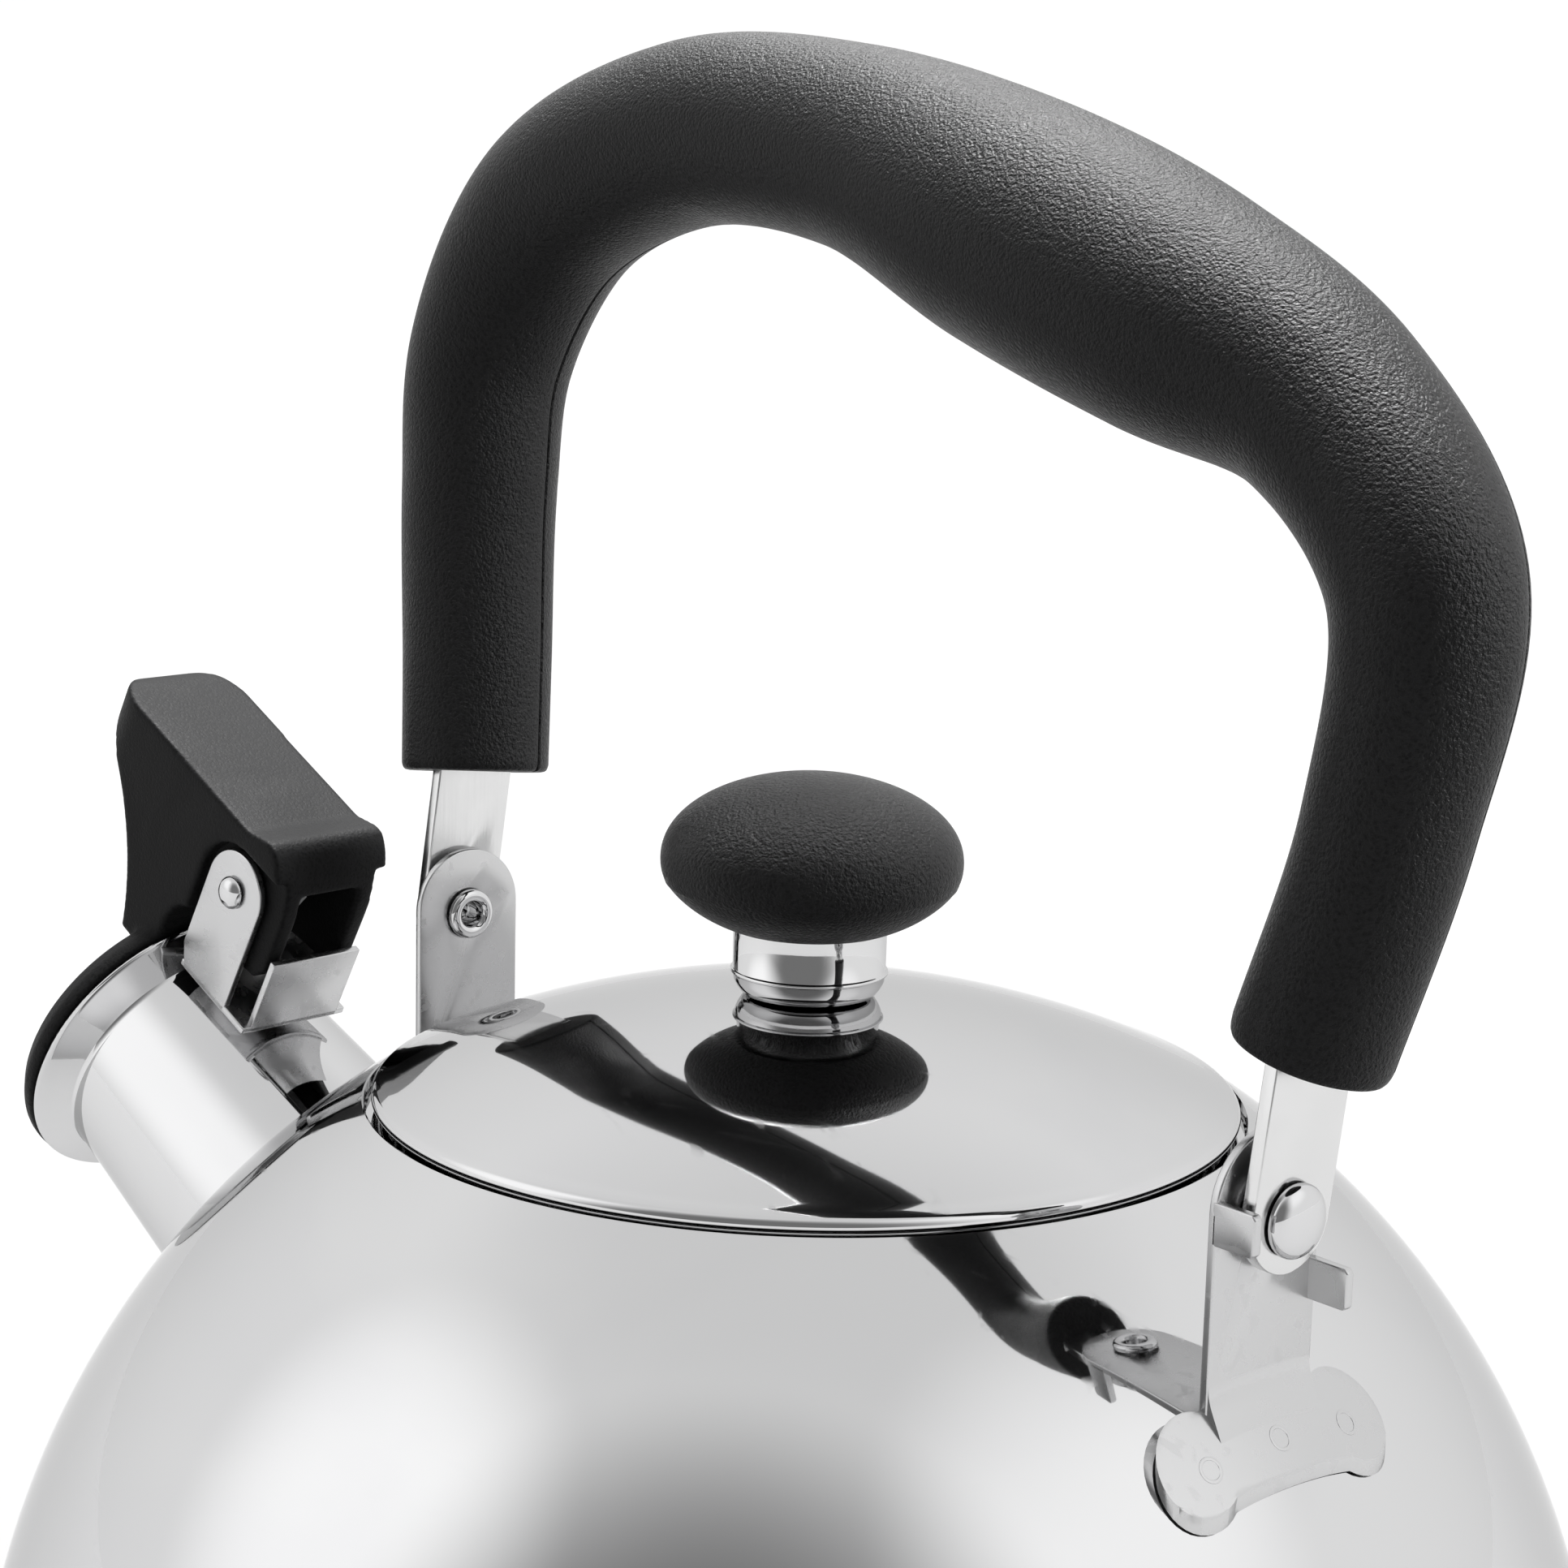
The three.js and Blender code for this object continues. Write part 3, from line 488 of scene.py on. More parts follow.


# %% Black phenolic: the grip, the knob and the lever, with the mould's sandy skin and a painted glint in its pits
def phenolic(name, grain_scale, depth, roughness=0.36, specular=0.13):
    material, tree, shader, where = blank(name, Metallic=0.0, Specular_IOR_Level=specular)
    skin = placed(tree, moulded_grain, Vector=where, Scale=grain_scale)
    worn = placed(tree, edge_wear, Vector=where, Scale=90.0, Amount=0.5).outputs["Mask"]
    handled = placed(tree, wipe_marks, Vector=where, Scale=38.0).outputs["Mask"]
    # The pits are painted a lighter black, a painted glint on the grain; the worn edges are lighter from real
    # wear.
    glint_specks_and_wear = maths(tree, "MULTIPLY", skin.outputs["Pits"], 0.5)
    glint_specks_and_wear = maths(tree, "ADD", glint_specks_and_wear, maths(tree, "MULTIPLY", worn, 0.8), clamp=True)
    tree.links.new(mixed(tree, glint_specks_and_wear, (0.003, 0.003, 0.0032), (0.012, 0.012, 0.0125)),
                   shader.inputs["Base Color"])
    gloss = maths(tree, "ADD", maths(tree, "MULTIPLY", handled, -0.06), roughness)
    gloss = maths(tree, "ADD", gloss, maths(tree, "MULTIPLY", skin.outputs["Pits"], 0.10))
    tree.links.new(gloss, shader.inputs["Roughness"])
    bump = node(tree, "ShaderNodeBump", {
        "Height": skin.outputs["Height"], "Strength": 1.0, "Distance": depth * MM})
    tree.links.new(bump.outputs["Normal"], shader.inputs["Normal"])
    return material


POLISHED = mirror_steel("polished_steel")
PRESSED = mirror_steel("pressed_bracket_steel", tone=0.60, roughness=0.24, marks=2.0)
SATIN = satin_steel("satin_steel")
STRAP_STEEL = satin_steel("strap_steel", tone=0.70, roughness=0.18)
ALUMINIUM = rolled_aluminium("aluminium_core")
GRIP_BLACK = phenolic("grip_phenolic", 3200.0, 0.14)
LEVER_BLACK = phenolic("lever_phenolic", 3600.0, 0.03, 0.52, 0.09)
print("materials:", [m.name for m in bpy.data.materials])


# %% [markdown]
# ## Body
# The shell is one deep-drawn ball of 0.8 mm sheet. It is turned from a fine arc, because a mirror
# shows every facet. Its upper edge steps down to a ledge that the lid's rim drops on, and then
# rolls over into the neck. A hole behind the spout lets the water out.

# %% Shell
def ball_angle(z, radius=BODY_R):
    return math.degrees(math.asin((z - BODY_Z) / radius))


def ball_height(distance, radius=BODY_R):
    return BODY_Z + sqrt(radius ** 2 - distance ** 2)


def make_shell():
    inner = BODY_R - SHEET
    shoulder = math.degrees(math.acos((LID_R + 1.2) / BODY_R))
    outer_arc = arc(0, BODY_Z, BODY_R, ball_angle(SEAM_Z + 0.4), shoulder, 90)
    ledge = outer_arc[-1][1] - 1.8
    lip = 1.4
    outline = [(BODY_R * cos(radians(ball_angle(SEAM_Z))) - 0.3, SEAM_Z), *outer_arc]
    outline += [(LID_R + 0.95, outer_arc[-1][1] - 0.1), (LID_R + 0.9, ledge + 0.3), (LID_R + 0.6, ledge)]
    outline += arc(NECK_R + lip, ledge - lip, lip, 90, 180, 8)
    outline += [(NECK_R, ledge - 7), (NECK_R + SHEET, ledge - 7)]
    outline += arc(NECK_R + lip, ledge - lip, lip - SHEET, 180, 90, 4)
    outline += [(LID_R + 0.4, ledge - SHEET)]
    outline += arc(0, BODY_Z, inner, shoulder - 0.9, ball_angle(SEAM_Z, inner), 60)
    shell = turned("shell", outline, 256)
    bore = turned("bore", [(0, -20), (21.2, -20), (21.2, 25), (0, 25)], 96)
    moved(bore, SPOUT_PLACE @ ALONG_X)
    return combined(shell, [bore], "DIFFERENCE")


fitted(make_shell(), "kettle", "polished_steel", POLISHED, "body_shell")


# %% [markdown]
# ## Pan and capsule base
# The lower bowl is a second pressing, welded to the shell just above the base and polished over.
# Under it sits a flat steel capsule with an aluminium disc inside, which spreads the heat.

# %% Pan and capsule
def make_pan():
    lap = BODY_R - SHEET - GAP
    inner = lap - SHEET
    corner = 13.0
    low = SEAM_Z - GAP
    seam_r = BODY_R * cos(radians(ball_angle(low)))
    outline = [(0, FLOOR_Z)]
    outline += arc(seam_r - corner + 0.2, FLOOR_Z + corner, corner, -90, -22, 16)
    outline += [(seam_r, low - 0.4), (seam_r - 0.3, low), (lap * cos(radians(ball_angle(low, lap))), low)]
    outline += arc(0, BODY_Z, lap, ball_angle(low + 1, lap), ball_angle(low + 7, lap), 4)
    outline += arc(0, BODY_Z, inner, ball_angle(low + 7, inner), ball_angle(low + 1, inner), 4)
    outline += arc(seam_r - corner + 0.2, FLOOR_Z + corner, corner - SHEET, -22, -90, 12)
    outline += [(0, FLOOR_Z + SHEET)]
    return turned("pan", outline, 256)


def make_capsule():
    edge = 3.0
    outline = [(0, 0), (30, 0), (30.4, 0.35), (36, 0.35), (36.4, 0)]
    outline += arc(BASE_R - edge, edge, edge, -90, 0, 10)
    outline += [(BASE_R, CAPSULE_TOP - 0.3), (BASE_R - 0.3, CAPSULE_TOP)]
    outline += [(BASE_R - SHEET, CAPSULE_TOP)]
    outline += arc(BASE_R - edge, edge, edge - SHEET, 0, -90, 8)
    outline += [(0, SHEET)]
    return turned("capsule", outline, 192)


fitted(make_pan(), "kettle", "polished_steel", POLISHED, "base_pan")
fitted(make_capsule(), "kettle", "satin_steel", SATIN, "base_capsule")
frame["nodes"]["heat_disc"].data.materials.clear()
frame["nodes"]["heat_disc"].data.materials.append(ALUMINIUM)


# %% [markdown]
# ## Spout
# The spout is a short tapered tube whose mouth flares out in a cone with a thin bright rim. Its root
# is trimmed to the ball and sits on a small weld bead. Each lengthwise line of the tube is started
# where it meets the ball, so that the cut edge is clean without a boolean.

# %% Spout tube and weld bead
SPOUT_ROOT_R = 23.4
SPOUT_END_R = 20.9
SPOUT_FOLD = 44.2
SPOUT_LENGTH = 48.0
FLARE_R = 25.8


def spout_radius(s):
    return SPOUT_ROOT_R + (SPOUT_END_R - SPOUT_ROOT_R) * s / SPOUT_FOLD


def on_spout(s, radius, angle):
    """A point of the tube in the kettle's axes: distance along, radius and turn about the axis."""
    return SPOUT_PLACE @ Vector((s, radius * cos(angle), radius * sin(angle)))


def ball_start(angle, inset=0.0, ball=BODY_R + GAP):
    """How far along the tube a lengthwise line leaves the ball."""
    low, high = -40.0, 40.0
    for _ in range(40):
        middle = (low + high) / 2
        point = on_spout(middle, spout_radius(middle) - inset, angle)
        inside = (point - Vector((0, 0, BODY_Z))).length < ball
        low, high = (middle, high) if inside else (low, middle)
    return high


def make_spout():
    segments = 192
    lip = [(FLARE_R - 0.75, SPOUT_LENGTH - 0.85), (FLARE_R - 0.25, SPOUT_LENGTH - 0.6)]
    lip += [(FLARE_R, SPOUT_LENGTH - 0.25), (FLARE_R - 0.1, SPOUT_LENGTH + 0.02)]
    lip += [(FLARE_R - 0.5, SPOUT_LENGTH + 0.1), (FLARE_R - 0.9, SPOUT_LENGTH - 0.1)]
    fold = [(SPOUT_END_R + 0.03, SPOUT_FOLD - 0.5), (SPOUT_END_R + 0.2, SPOUT_FOLD)]
    fold += [(SPOUT_END_R + 0.6, SPOUT_FOLD + 0.3)]
    inner = [(SPOUT_END_R - SHEET + 0.3, SPOUT_FOLD + 0.4), (SPOUT_END_R - SHEET, SPOUT_FOLD - 0.2)]
    rings = []
    for k in range(segments):
        angle = 2 * pi * k / segments
        start = ball_start(angle)
        back = ball_start(angle, SHEET)
        line = []
        for i in range(13):
            s = start + (SPOUT_FOLD - 1.0 - start) * i / 12
            line.append(on_spout(s, spout_radius(s), angle))
        line += [on_spout(s, r, angle) for r, s in fold + lip + inner]
        for i in range(7):
            s = SPOUT_FOLD - 1.0 + (back - SPOUT_FOLD + 1.0) * i / 6
            line.append(on_spout(s, spout_radius(s) - SHEET, angle))
        rings.append(line)
    rings.append(rings[0])
    return looped("spout", rings)


def looped(name, rings):
    """Closed rings of points joined all the way round, with no ends."""
    count = len(rings[0])
    points = [p for ring in rings for p in ring]
    faces = []
    for i in range(len(rings) - 1):
        for j in range(count):
            k = (j + 1) % count
            faces.append((i * count + j, i * count + k, (i + 1) * count + k, (i + 1) * count + j))
    return new_piece(name, points, faces, 32)


def make_weld_bead():
    segments = 192
    rings = []
    for k in range(segments):
        angle = 2 * pi * k / segments
        ripple = 0.06 * sin(34 * angle)
        s = ball_start(angle) + 0.25
        centre = on_spout(s, spout_radius(s) + 0.05, angle)
        out = (on_spout(s, 30, angle) - on_spout(s, 20, angle)).normalized()
        along = (on_spout(s + 1, 20, angle) - on_spout(s, 20, angle)).normalized()
        size = 0.75 + ripple
        rings.append([centre + size * (out * cos(a) + along * sin(a))
                      for a in (2 * pi * i / 10 for i in range(10))])
    rings.append(rings[0])
    return looped("spout_weld", rings)


fitted(make_spout(), "kettle", "polished_steel", POLISHED, "spout_tube")
fitted(make_weld_bead(), "kettle", "polished_steel", SATIN)


# %% [markdown]
# ## Lid
# The lid is a shallow dome with a rolled edge, and a collar under it keeps it centred in the neck.
# A turned ferrule lifts the knob clear of the hot dome, with one ridge round it and a drawn-in foot.

# %% Lid dome and collar
LID_BALL_R = (LID_R ** 2 + LID_RISE ** 2) / (2 * LID_RISE)
LID_BALL_Z = LID_Z + LID_RISE - LID_BALL_R


def lid_angle(r, radius=LID_BALL_R):
    return math.degrees(math.acos(r / radius))


def lid_height(r, radius=LID_BALL_R):
    return LID_BALL_Z + radius * sin(radians(lid_angle(r, radius)))


def make_lid():
    roll = 1.3
    edge = LID_R - roll
    edge_z = lid_height(edge) - roll
    inner = LID_BALL_R - SHEET
    outline = arc(0, LID_BALL_Z, LID_BALL_R, lid_angle(2.6), lid_angle(edge - 0.6), 48)
    outline += arc(edge, edge_z, roll, 64, -90, 16)
    outline += [(edge - 0.6, edge_z - roll), (edge - 0.6, edge_z - roll + SHEET)]
    outline += arc(0, LID_BALL_Z, inner, lid_angle(edge - 1, inner), lid_angle(2.6, inner), 32)
    return turned("lid", outline, 256)


def make_collar():
    r = NECK_R - 0.8
    flange = 8.0
    drop = 11.0
    under = LID_BALL_R - SHEET - GAP
    outline = arc(0, LID_BALL_Z, under, lid_angle(r - flange, under), lid_angle(r - 0.7, under), 6)
    outline += [(r - 0.2, lid_height(r, under) - 0.2), (r, lid_height(r, under) - 0.8)]
    outline += [(r, LID_Z - drop + 0.7), (r - 0.4, LID_Z - drop), (r - 1.2, LID_Z - drop - 0.7)]
    outline += [(r - 2.4, LID_Z - drop - 0.8), (r - 2.4, LID_Z - drop), (r - SHEET, LID_Z - drop + 0.8)]
    outline += [(r - SHEET, lid_height(r - SHEET, under - SHEET))]
    outline += [(r - flange, lid_height(r - flange, under - SHEET))]
    return turned("collar", outline, 192)


fitted(make_lid(), "lid", "polished_steel", POLISHED, "lid_dome")
fitted(make_collar(), "lid", "satin_steel", SATIN, "lid_collar")


# %% Ferrule and knob
FERRULE_TOP = KNOB_Z - KNOB_HALF_H + 1.6
FERRULE_FOOT = lid_height(FERRULE_R) + GAP


def make_ferrule():
    ridge = FERRULE_FOOT + 0.36 * (FERRULE_TOP - FERRULE_FOOT)
    foot_r = FERRULE_R - 1.5
    outline = [(2.6, lid_height(2.6) + GAP), (foot_r - 0.6, lid_height(foot_r) + GAP)]
    outline += [(foot_r, lid_height(foot_r) + GAP + 0.25), (FERRULE_R - 0.9, FERRULE_FOOT + 1.2)]
    outline += [(FERRULE_R - 0.5, FERRULE_FOOT + 2.0), (FERRULE_R - 0.38, ridge - 0.35)]
    outline += arc(FERRULE_R - 0.3, ridge, 0.3, -80, 80, 8)
    outline += [(FERRULE_R - 0.36, ridge + 0.4), (FERRULE_R - 0.3, FERRULE_TOP)]
    outline += [(FERRULE_R - 1.3, FERRULE_TOP), (FERRULE_R - 1.3, lid_height(0) + 1.8)]
    outline += [(2.6, lid_height(0) + 1.8)]
    return turned("ferrule", outline, 192, 50)


def make_knob():
    parting = -0.30
    low = KNOB_Z - KNOB_HALF_H * sqrt(1 - ((FERRULE_R + 0.6) / KNOB_R) ** 2)
    start = math.asin((low - KNOB_Z) / KNOB_HALF_H)
    steps = 72
    bulge = []
    for i in range(steps + 1):
        angle = start + (pi / 2 - start) * i / steps
        ridge = 0.12 * math.exp(-((sin(angle) - parting) / 0.025) ** 2)
        flank = 0.25 * math.exp(-((sin(angle) - parting) / 0.22) ** 2)
        bulge.append(((KNOB_R - 0.37 + ridge + flank) * cos(angle), KNOB_Z + KNOB_HALF_H * sin(angle)))
    foot = 9.0
    socket = FERRULE_TOP + GAP
    outline = [(0, KNOB_Z + 4), (2.3, KNOB_Z + 4), (2.3, socket - 3.6), (foot - 0.3, socket - 3.6)]
    outline += [(foot - 0.3, socket), (FERRULE_R + 0.1, socket)]
    return turned("knob_ball", outline + bulge, 160, 45)


fitted(make_ferrule(), "lid", "polished_steel", POLISHED, "knob_ferrule")
fitted(make_knob(), "lid", "black_phenolic", GRIP_BLACK, "knob")


# %% [markdown]
# The washer and the screw that hold the knob sit inside the lid. They are seen once the lid is off,
# so the screw gets a real cross recess, cut from a turned blank.

# %% Knob screw and washer
def cross_recess(width, length, low, high):
    bars = []
    for size_x, size_y in ((width, length), (length, width)):
        outline = [(-size_x / 2, low), (size_x / 2, low), (size_x / 2, high), (-size_x / 2, high)]
        bars.append(slab("recess", outline, -size_y / 2, size_y / 2))
    return bars


def make_knob_screw():
    head = lid_height(0) - SHEET - GAP - 0.8 - GAP
    outline = [(0, head - 2.4), *arc(0, head + 2.6, 5.1, -78, -42, 6), (4.4, head - 0.6)]
    outline += [(4.5, head - 0.2), (4.4, head), (2, head), (2, KNOB_Z + 3), (0, KNOB_Z + 3.6)]
    recess = cross_recess(0.8, 4.2, head - 4, head - 1.2)
    return combined(turned("lid_screw", outline, 64), recess, "DIFFERENCE")


def make_knob_washer():
    top = lid_height(0) - SHEET - GAP
    outline = [(2.4, top - 0.8), (6.2, top - 0.8), (6.5, top - 0.5), (6.5, top - 0.1), (6.4, top), (2.4, top)]
    return turned("lid_washer", outline, 64)


fitted(make_knob_screw(), "lid", "satin_steel", SATIN, "knob_screw")
fitted(make_knob_washer(), "lid", "satin_steel", SATIN, "knob_washer")


# %% [markdown]
# ## Handle brackets
# Each bracket is one piece of 1.2 mm sheet: an upright plate with a round top, bent outwards at the
# ball into a two-lobed foot that is spot-welded down. The foot is cut from a thin skin of the ball,
# so it hugs the curve. On the rear bracket a bent strip carries the plate round into it, and two
# tabs stop the handle. The front foot turns inwards, clear of the spout.

# %% Bracket parts
def upright_outline(half, foot, top):
    return [(-half, foot), (half, foot), *arc(0, top, half, 0, 180, 32)]


def foot_outline():
    lobe, spread, waist = 5.8, 12.5, 5.0
    squash = 0.66  # how far the outline is pressed together down the slope
    outline = arc(-spread, 0, lobe, 60, 300, 24)
    outline += [(-6.2, -waist - 0.1), (-3.1, -waist + 0.25), (0, -waist + 0.4), (3.1, -waist + 0.25)]
    outline += [(6.2, -waist - 0.1)]
    outline += arc(spread, 0, lobe, 240, 480, 24)
    outline += [(spread - lobe, waist), (-spread + lobe, waist)]
    return [(across, down * squash) for across, down in outline]


def ball_skin(inside, outside):
    steps = 60
    outline = arc(0, BODY_Z, outside, 30, 62, steps) + arc(0, BODY_Z, inside, 62, 30, steps)
    return turned("skin", outline, 360, 60)


def make_foot(centre_x):
    """The lobed outline, pushed straight down through a thin skin of the ball."""
    column = slab("foot", foot_outline(), BODY_Z + 40, BODY_Z + 120)
    stand_up = Matrix.Rotation(radians(90), 4, "Z") @ Matrix.Rotation(radians(90), 4, "X")
    moved(column, Matrix.Translation((centre_x, 0, 0)) @ stand_up)
    foot = combined(column, [ball_skin(BODY_R + GAP, BODY_R + GAP + PLATE)], "INTERSECT")
    return rounded(foot, 0.3, segments=3, angle=50)


BEND_REACH = 2.9  # how far out on the ball the bent strip lands


def make_bend(x, side, width):
    """The strip that turns from the upright plate out onto the ball."""
    rings = []
    across = 16
    for j in range(across + 1):
        y = -width / 2 + width * j / across
        outer = BODY_R + GAP + PLATE
        junction = ball_height(sqrt(x * x + y * y), outer)
        line_out = []
        line_in = []
        for i in range(11):
            t = i / 10
            reach = x + BEND_REACH * t
            z_ball = ball_height(sqrt(reach * reach + y * y), outer)
            flat = PLATE / 2
            px = (1 - t) ** 2 * (x + flat) + 2 * t * (1 - t) * (x + flat) + t * t * (x + BEND_REACH)
            pz = (1 - t) ** 2 * (junction + 2.6) + 2 * t * (1 - t) * (junction - 0.1) + t * t * z_ball
            line_out.append((side * px, y, pz))
            line_in.append((side * (px - 0.9), y, pz - 0.9))
        rings.append(line_out + line_in[::-1])
    return skinned("bend", rings, 60)


def make_spot_weld(x, y):
    """A shallow ring left by a welding electrode."""
    distance = sqrt(x * x + y * y)
    top = BODY_R + GAP + PLATE
    ring = turned("spot", [(1.0, -0.2), (1.15, 0.04), (1.35, 0.07), (1.55, 0.03), (1.65, -0.2)], 48)
    tilt = Matrix.Rotation(math.atan2(y, x), 4, "Z") @ Matrix.Rotation(math.asin(distance / top), 4, "Y")
    return moved(ring, Matrix.Translation((0, 0, BODY_Z)) @ tilt @ Matrix.Translation((0, 0, top)))


def make_tab(y_low, y_high, z):
    outline = [(PIVOT_X, z - 2.5), (PIVOT_X + 5.7, z - 2.5), (PIVOT_X + 6.2, z - 2.0)]
    outline += [(PIVOT_X + 6.2, z + 2.0), (PIVOT_X + 5.7, z + 2.5), (PIVOT_X, z + 2.5)]
    return slab("tab", outline, y_low, y_high, 0.2)


def make_bracket(name, side, foot_shift):
    half = BRACKET_W / 2
    pivot = pivot_height(side)
    foot = ball_height(PIVOT_X, BODY_R + GAP) - 0.5
    plate = slab("plate", upright_outline(half, foot, pivot + 1), -PLATE / 2, PLATE / 2)
    moved(plate, Matrix.Translation((side * PIVOT_X, 0, 0)) @ Matrix.Rotation(radians(90), 4, "Z"))
    hole = turned("hole", [(0, -3), (2.8, -3), (2.8, 3), (0, 3)], 48)
    moved(hole, Matrix.Translation((side * PIVOT_X, 0, pivot)) @ ALONG_X)
    plate = rounded(combined(plate, [hole], "DIFFERENCE"), 0.25, segments=3)
    pieces = [plate, make_foot(side * (PIVOT_X + foot_shift))]
    if side > 0:
        pieces.append(make_bend(PIVOT_X, side, BRACKET_W - 0.4))
        pieces += [make_spot_weld(side * (PIVOT_X + foot_shift + 0.9), y) for y in (-11.5, 0, 11.5)]
        pieces.append(make_tab(-half, -half + PLATE, pivot))
        pieces.append(make_tab(half - PLATE, half, pivot - 9.5))
    return gathered(name, pieces)


fitted(make_bracket("rear_bracket", 1, 3.3), "kettle", "polished_steel", PRESSED, "bracket_rear")
fitted(make_bracket("front_bracket", -1, -3.3), "kettle", "polished_steel", PRESSED, "bracket_front")


# %% [markdown]
# A hollow rivet goes through each bracket and the end of the handle's strap. Its domed head is on
# the outside, and on the inside the tube is rolled over into a bright eyelet.

# %% Rivets and washers
def to_pivot(side):
    turned_round = Matrix.Rotation(0 if side > 0 else pi, 4, "Z")
    return Matrix.Translation((0, 0, PIVOT_Z)) @ AXLE_TURN @ turned_round @ ALONG_X


def make_rivet(name, side):
    inner = PIVOT_X - PLATE / 2 - GAP
    outer = STRAP_X + STRAP_T / 2 + GAP
    bore, eyelet, head = 1.9, 3.75, 4.4
    roll = (eyelet - bore) / 2
    outline = arc(bore + roll, inner - 0.35, roll, 180, 360, 14)
    outline = [(r, inner - 0.35 + (z - inner + 0.35) * 0.8) for r, z in outline]
    outline += [(eyelet, inner), (2.5, inner), (2.5, outer), (head - 0.1, outer), (head, outer + 0.3)]
    outline += [(head * cos(a), outer + 0.45 + 1.95 * sin(a)) for a in (pi / 2 * i / 12 for i in range(13))]
    outline += [(0, outer - 2.2), (bore - 0.3, outer - 2.2), (bore, outer - 2.6)]
    return moved(turned(name, outline, 96, 50), to_pivot(side))


def make_pivot_washer(name, side):
    start = PIVOT_X + PLATE / 2 + GAP
    outline = [(2.8, start), (4.8, start), (5, start + 0.2), (5, start + 0.6), (4.8, start + 0.8)]
    outline += [(2.8, start + 0.8)]
    return moved(turned(name, outline, 64), to_pivot(side))


for place, side in (("front", -1), ("rear", 1)):
    rivet = make_rivet(f"{place}_rivet", side)
    fitted(rivet, "kettle", "polished_steel", POLISHED, f"pivot_rivet_{place}")
    washer = make_pivot_washer(f"{place}_washer", side)
    fitted(washer, "kettle", "satin_steel", SATIN, f"pivot_washer_{place}")


# %% [markdown]
# ## Bail handle
# A steel strap runs the whole way round inside the grip and comes out at both ends to the pivots.
# The grip is swept along one curve through thirteen listed stations, each with its own
# thickness: slim legs, and a fat swell where the palm lies. The curve passes through every station,
# and its knots are spaced by distance so that it doesn't overshoot between near and far ones.

# %% The grip's centre line
GRIP_LINE = [  # x, height above the pivot, thickness radius
    (-81.6, 23, 11),
    (-84.1, 39.1, 11.2),
    (-88.4, 65.2, 11.7),
    (-89, 85.9, 12.4),
    (-76, 107.2, 13.2),
    (-46.6, 118.1, 12.9),
    (-10.7, 116.2, 13.3),
    (21.5, 106.6, 15.8),
    (48.3, 97.6, 15.2),
    (72.9, 87.9, 12),
    (89.8, 69.7, 10.9),
    (89.3, 43.8, 9.6),
    (82.8, 16.5, 9.4),
]
PARTING_Y = 4.5


def spline(stations, t):
    """A curve through the stations, with knots spaced by the square root of their distances."""
    place = min(max(t, 0.0), 1.0) * (len(stations) - 1)
    i = min(int(place), len(stations) - 2)
    u = place - i
    points = [Vector(s) for s in stations]
    before = points[i - 1] if i > 0 else 2 * points[0] - points[1]
    after = points[i + 2] if i + 2 < len(points) else 2 * points[-1] - points[-2]
    p = [before, points[i], points[i + 1], after]
    gaps = [(Vector(p[k + 1][:2]) - Vector(p[k][:2])).length ** 0.5 for k in range(3)]
    into = (p[1] - p[0]) / gaps[0] - (p[2] - p[0]) / (gaps[0] + gaps[1]) + (p[2] - p[1]) / gaps[1]
    out = (p[2] - p[1]) / gaps[1] - (p[3] - p[1]) / (gaps[1] + gaps[2]) + (p[3] - p[2]) / gaps[2]
    into, out = into * gaps[1], out * gaps[1]
    a = 2 * u ** 3 - 3 * u ** 2 + 1
    b = u ** 3 - 2 * u ** 2 + u
    c = -2 * u ** 3 + 3 * u ** 2
    d = u ** 3 - u ** 2
    return a * p[1] + b * into + c * p[2] + d * out


def grip_frame(t):
    here = spline(GRIP_LINE, t)
    step = 1e-3
    tangent = spline(GRIP_LINE, min(t + step, 1)) - spline(GRIP_LINE, max(t - step, 0))
    tangent = Vector((tangent.x, 0, tangent.y)).normalized()
    normal = Vector((-tangent.z, 0, tangent.x))
    return Vector((here.x, 0, here.y)), tangent, normal, here.z


def on_grip(t, across, out, past=0.0):
    point, tangent, normal, _ = grip_frame(t)
    return point + normal * out + Vector((0, across, 0)) + tangent * past


# %% [markdown]
# The grip is moulded in two halves that close round the strap, and a fine seam shows down its side.
# Each half is swept on its own, with its edge along the seam rounded, so the seam is a real groove
# that catches the light and not a painted line. The ends are drawn in over the last few steps.

# %% Grip halves
def half_section(radius, cover):
    """Points round one half, from one seam edge to the other and back across the flat."""
    seam = PARTING_Y + (0.09 if cover else -0.09)
    edge = math.acos(min(0.95, seam / radius))
    start, end = (-edge, edge) if cover else (edge, 2 * pi - edge)
    lead = 0.28 / radius
    steps = 44
    ring = []
    for i in range(steps + 1):
        angle = start + lead + (end - start - 2 * lead) * i / steps
        ring.append((radius * cos(angle), radius * sin(angle)))
    height = radius * sin(edge)
    inward = 0.24
    first = -1 if cover else 1
    ring.append((seam, -first * (height - inward)))
    ring.append((seam, first * (height - inward)))
    return ring


def end_places(steps):
    """Places along the grip with how much it is drawn in, closer together at the rounded ends."""
    rounding = [(0.0, 0.80), (0.0, 0.90), (0.0006, 0.95), (0.0018, 0.975), (0.0036, 0.99), (0.006, 1.0)]
    middle = [(0.006 + 0.988 * i / steps, 1.0) for i in range(1, steps)]
    return rounding + middle + [(1 - t, scale) for t, scale in reversed(rounding)]


def make_grip_half(name, cover):
    rings = []
    for t, scale in end_places(220):
        radius = grip_frame(t)[3]
        section = half_section(radius, cover)
        rings.append([on_grip(t, across * scale, out * scale) for across, out in section])
    return moved(skinned(name, rings, 50), HANDLE_PLACE)


# %% Grip screws, sunk in the cover
GRIP_SCREWS = (0.17, 0.86)


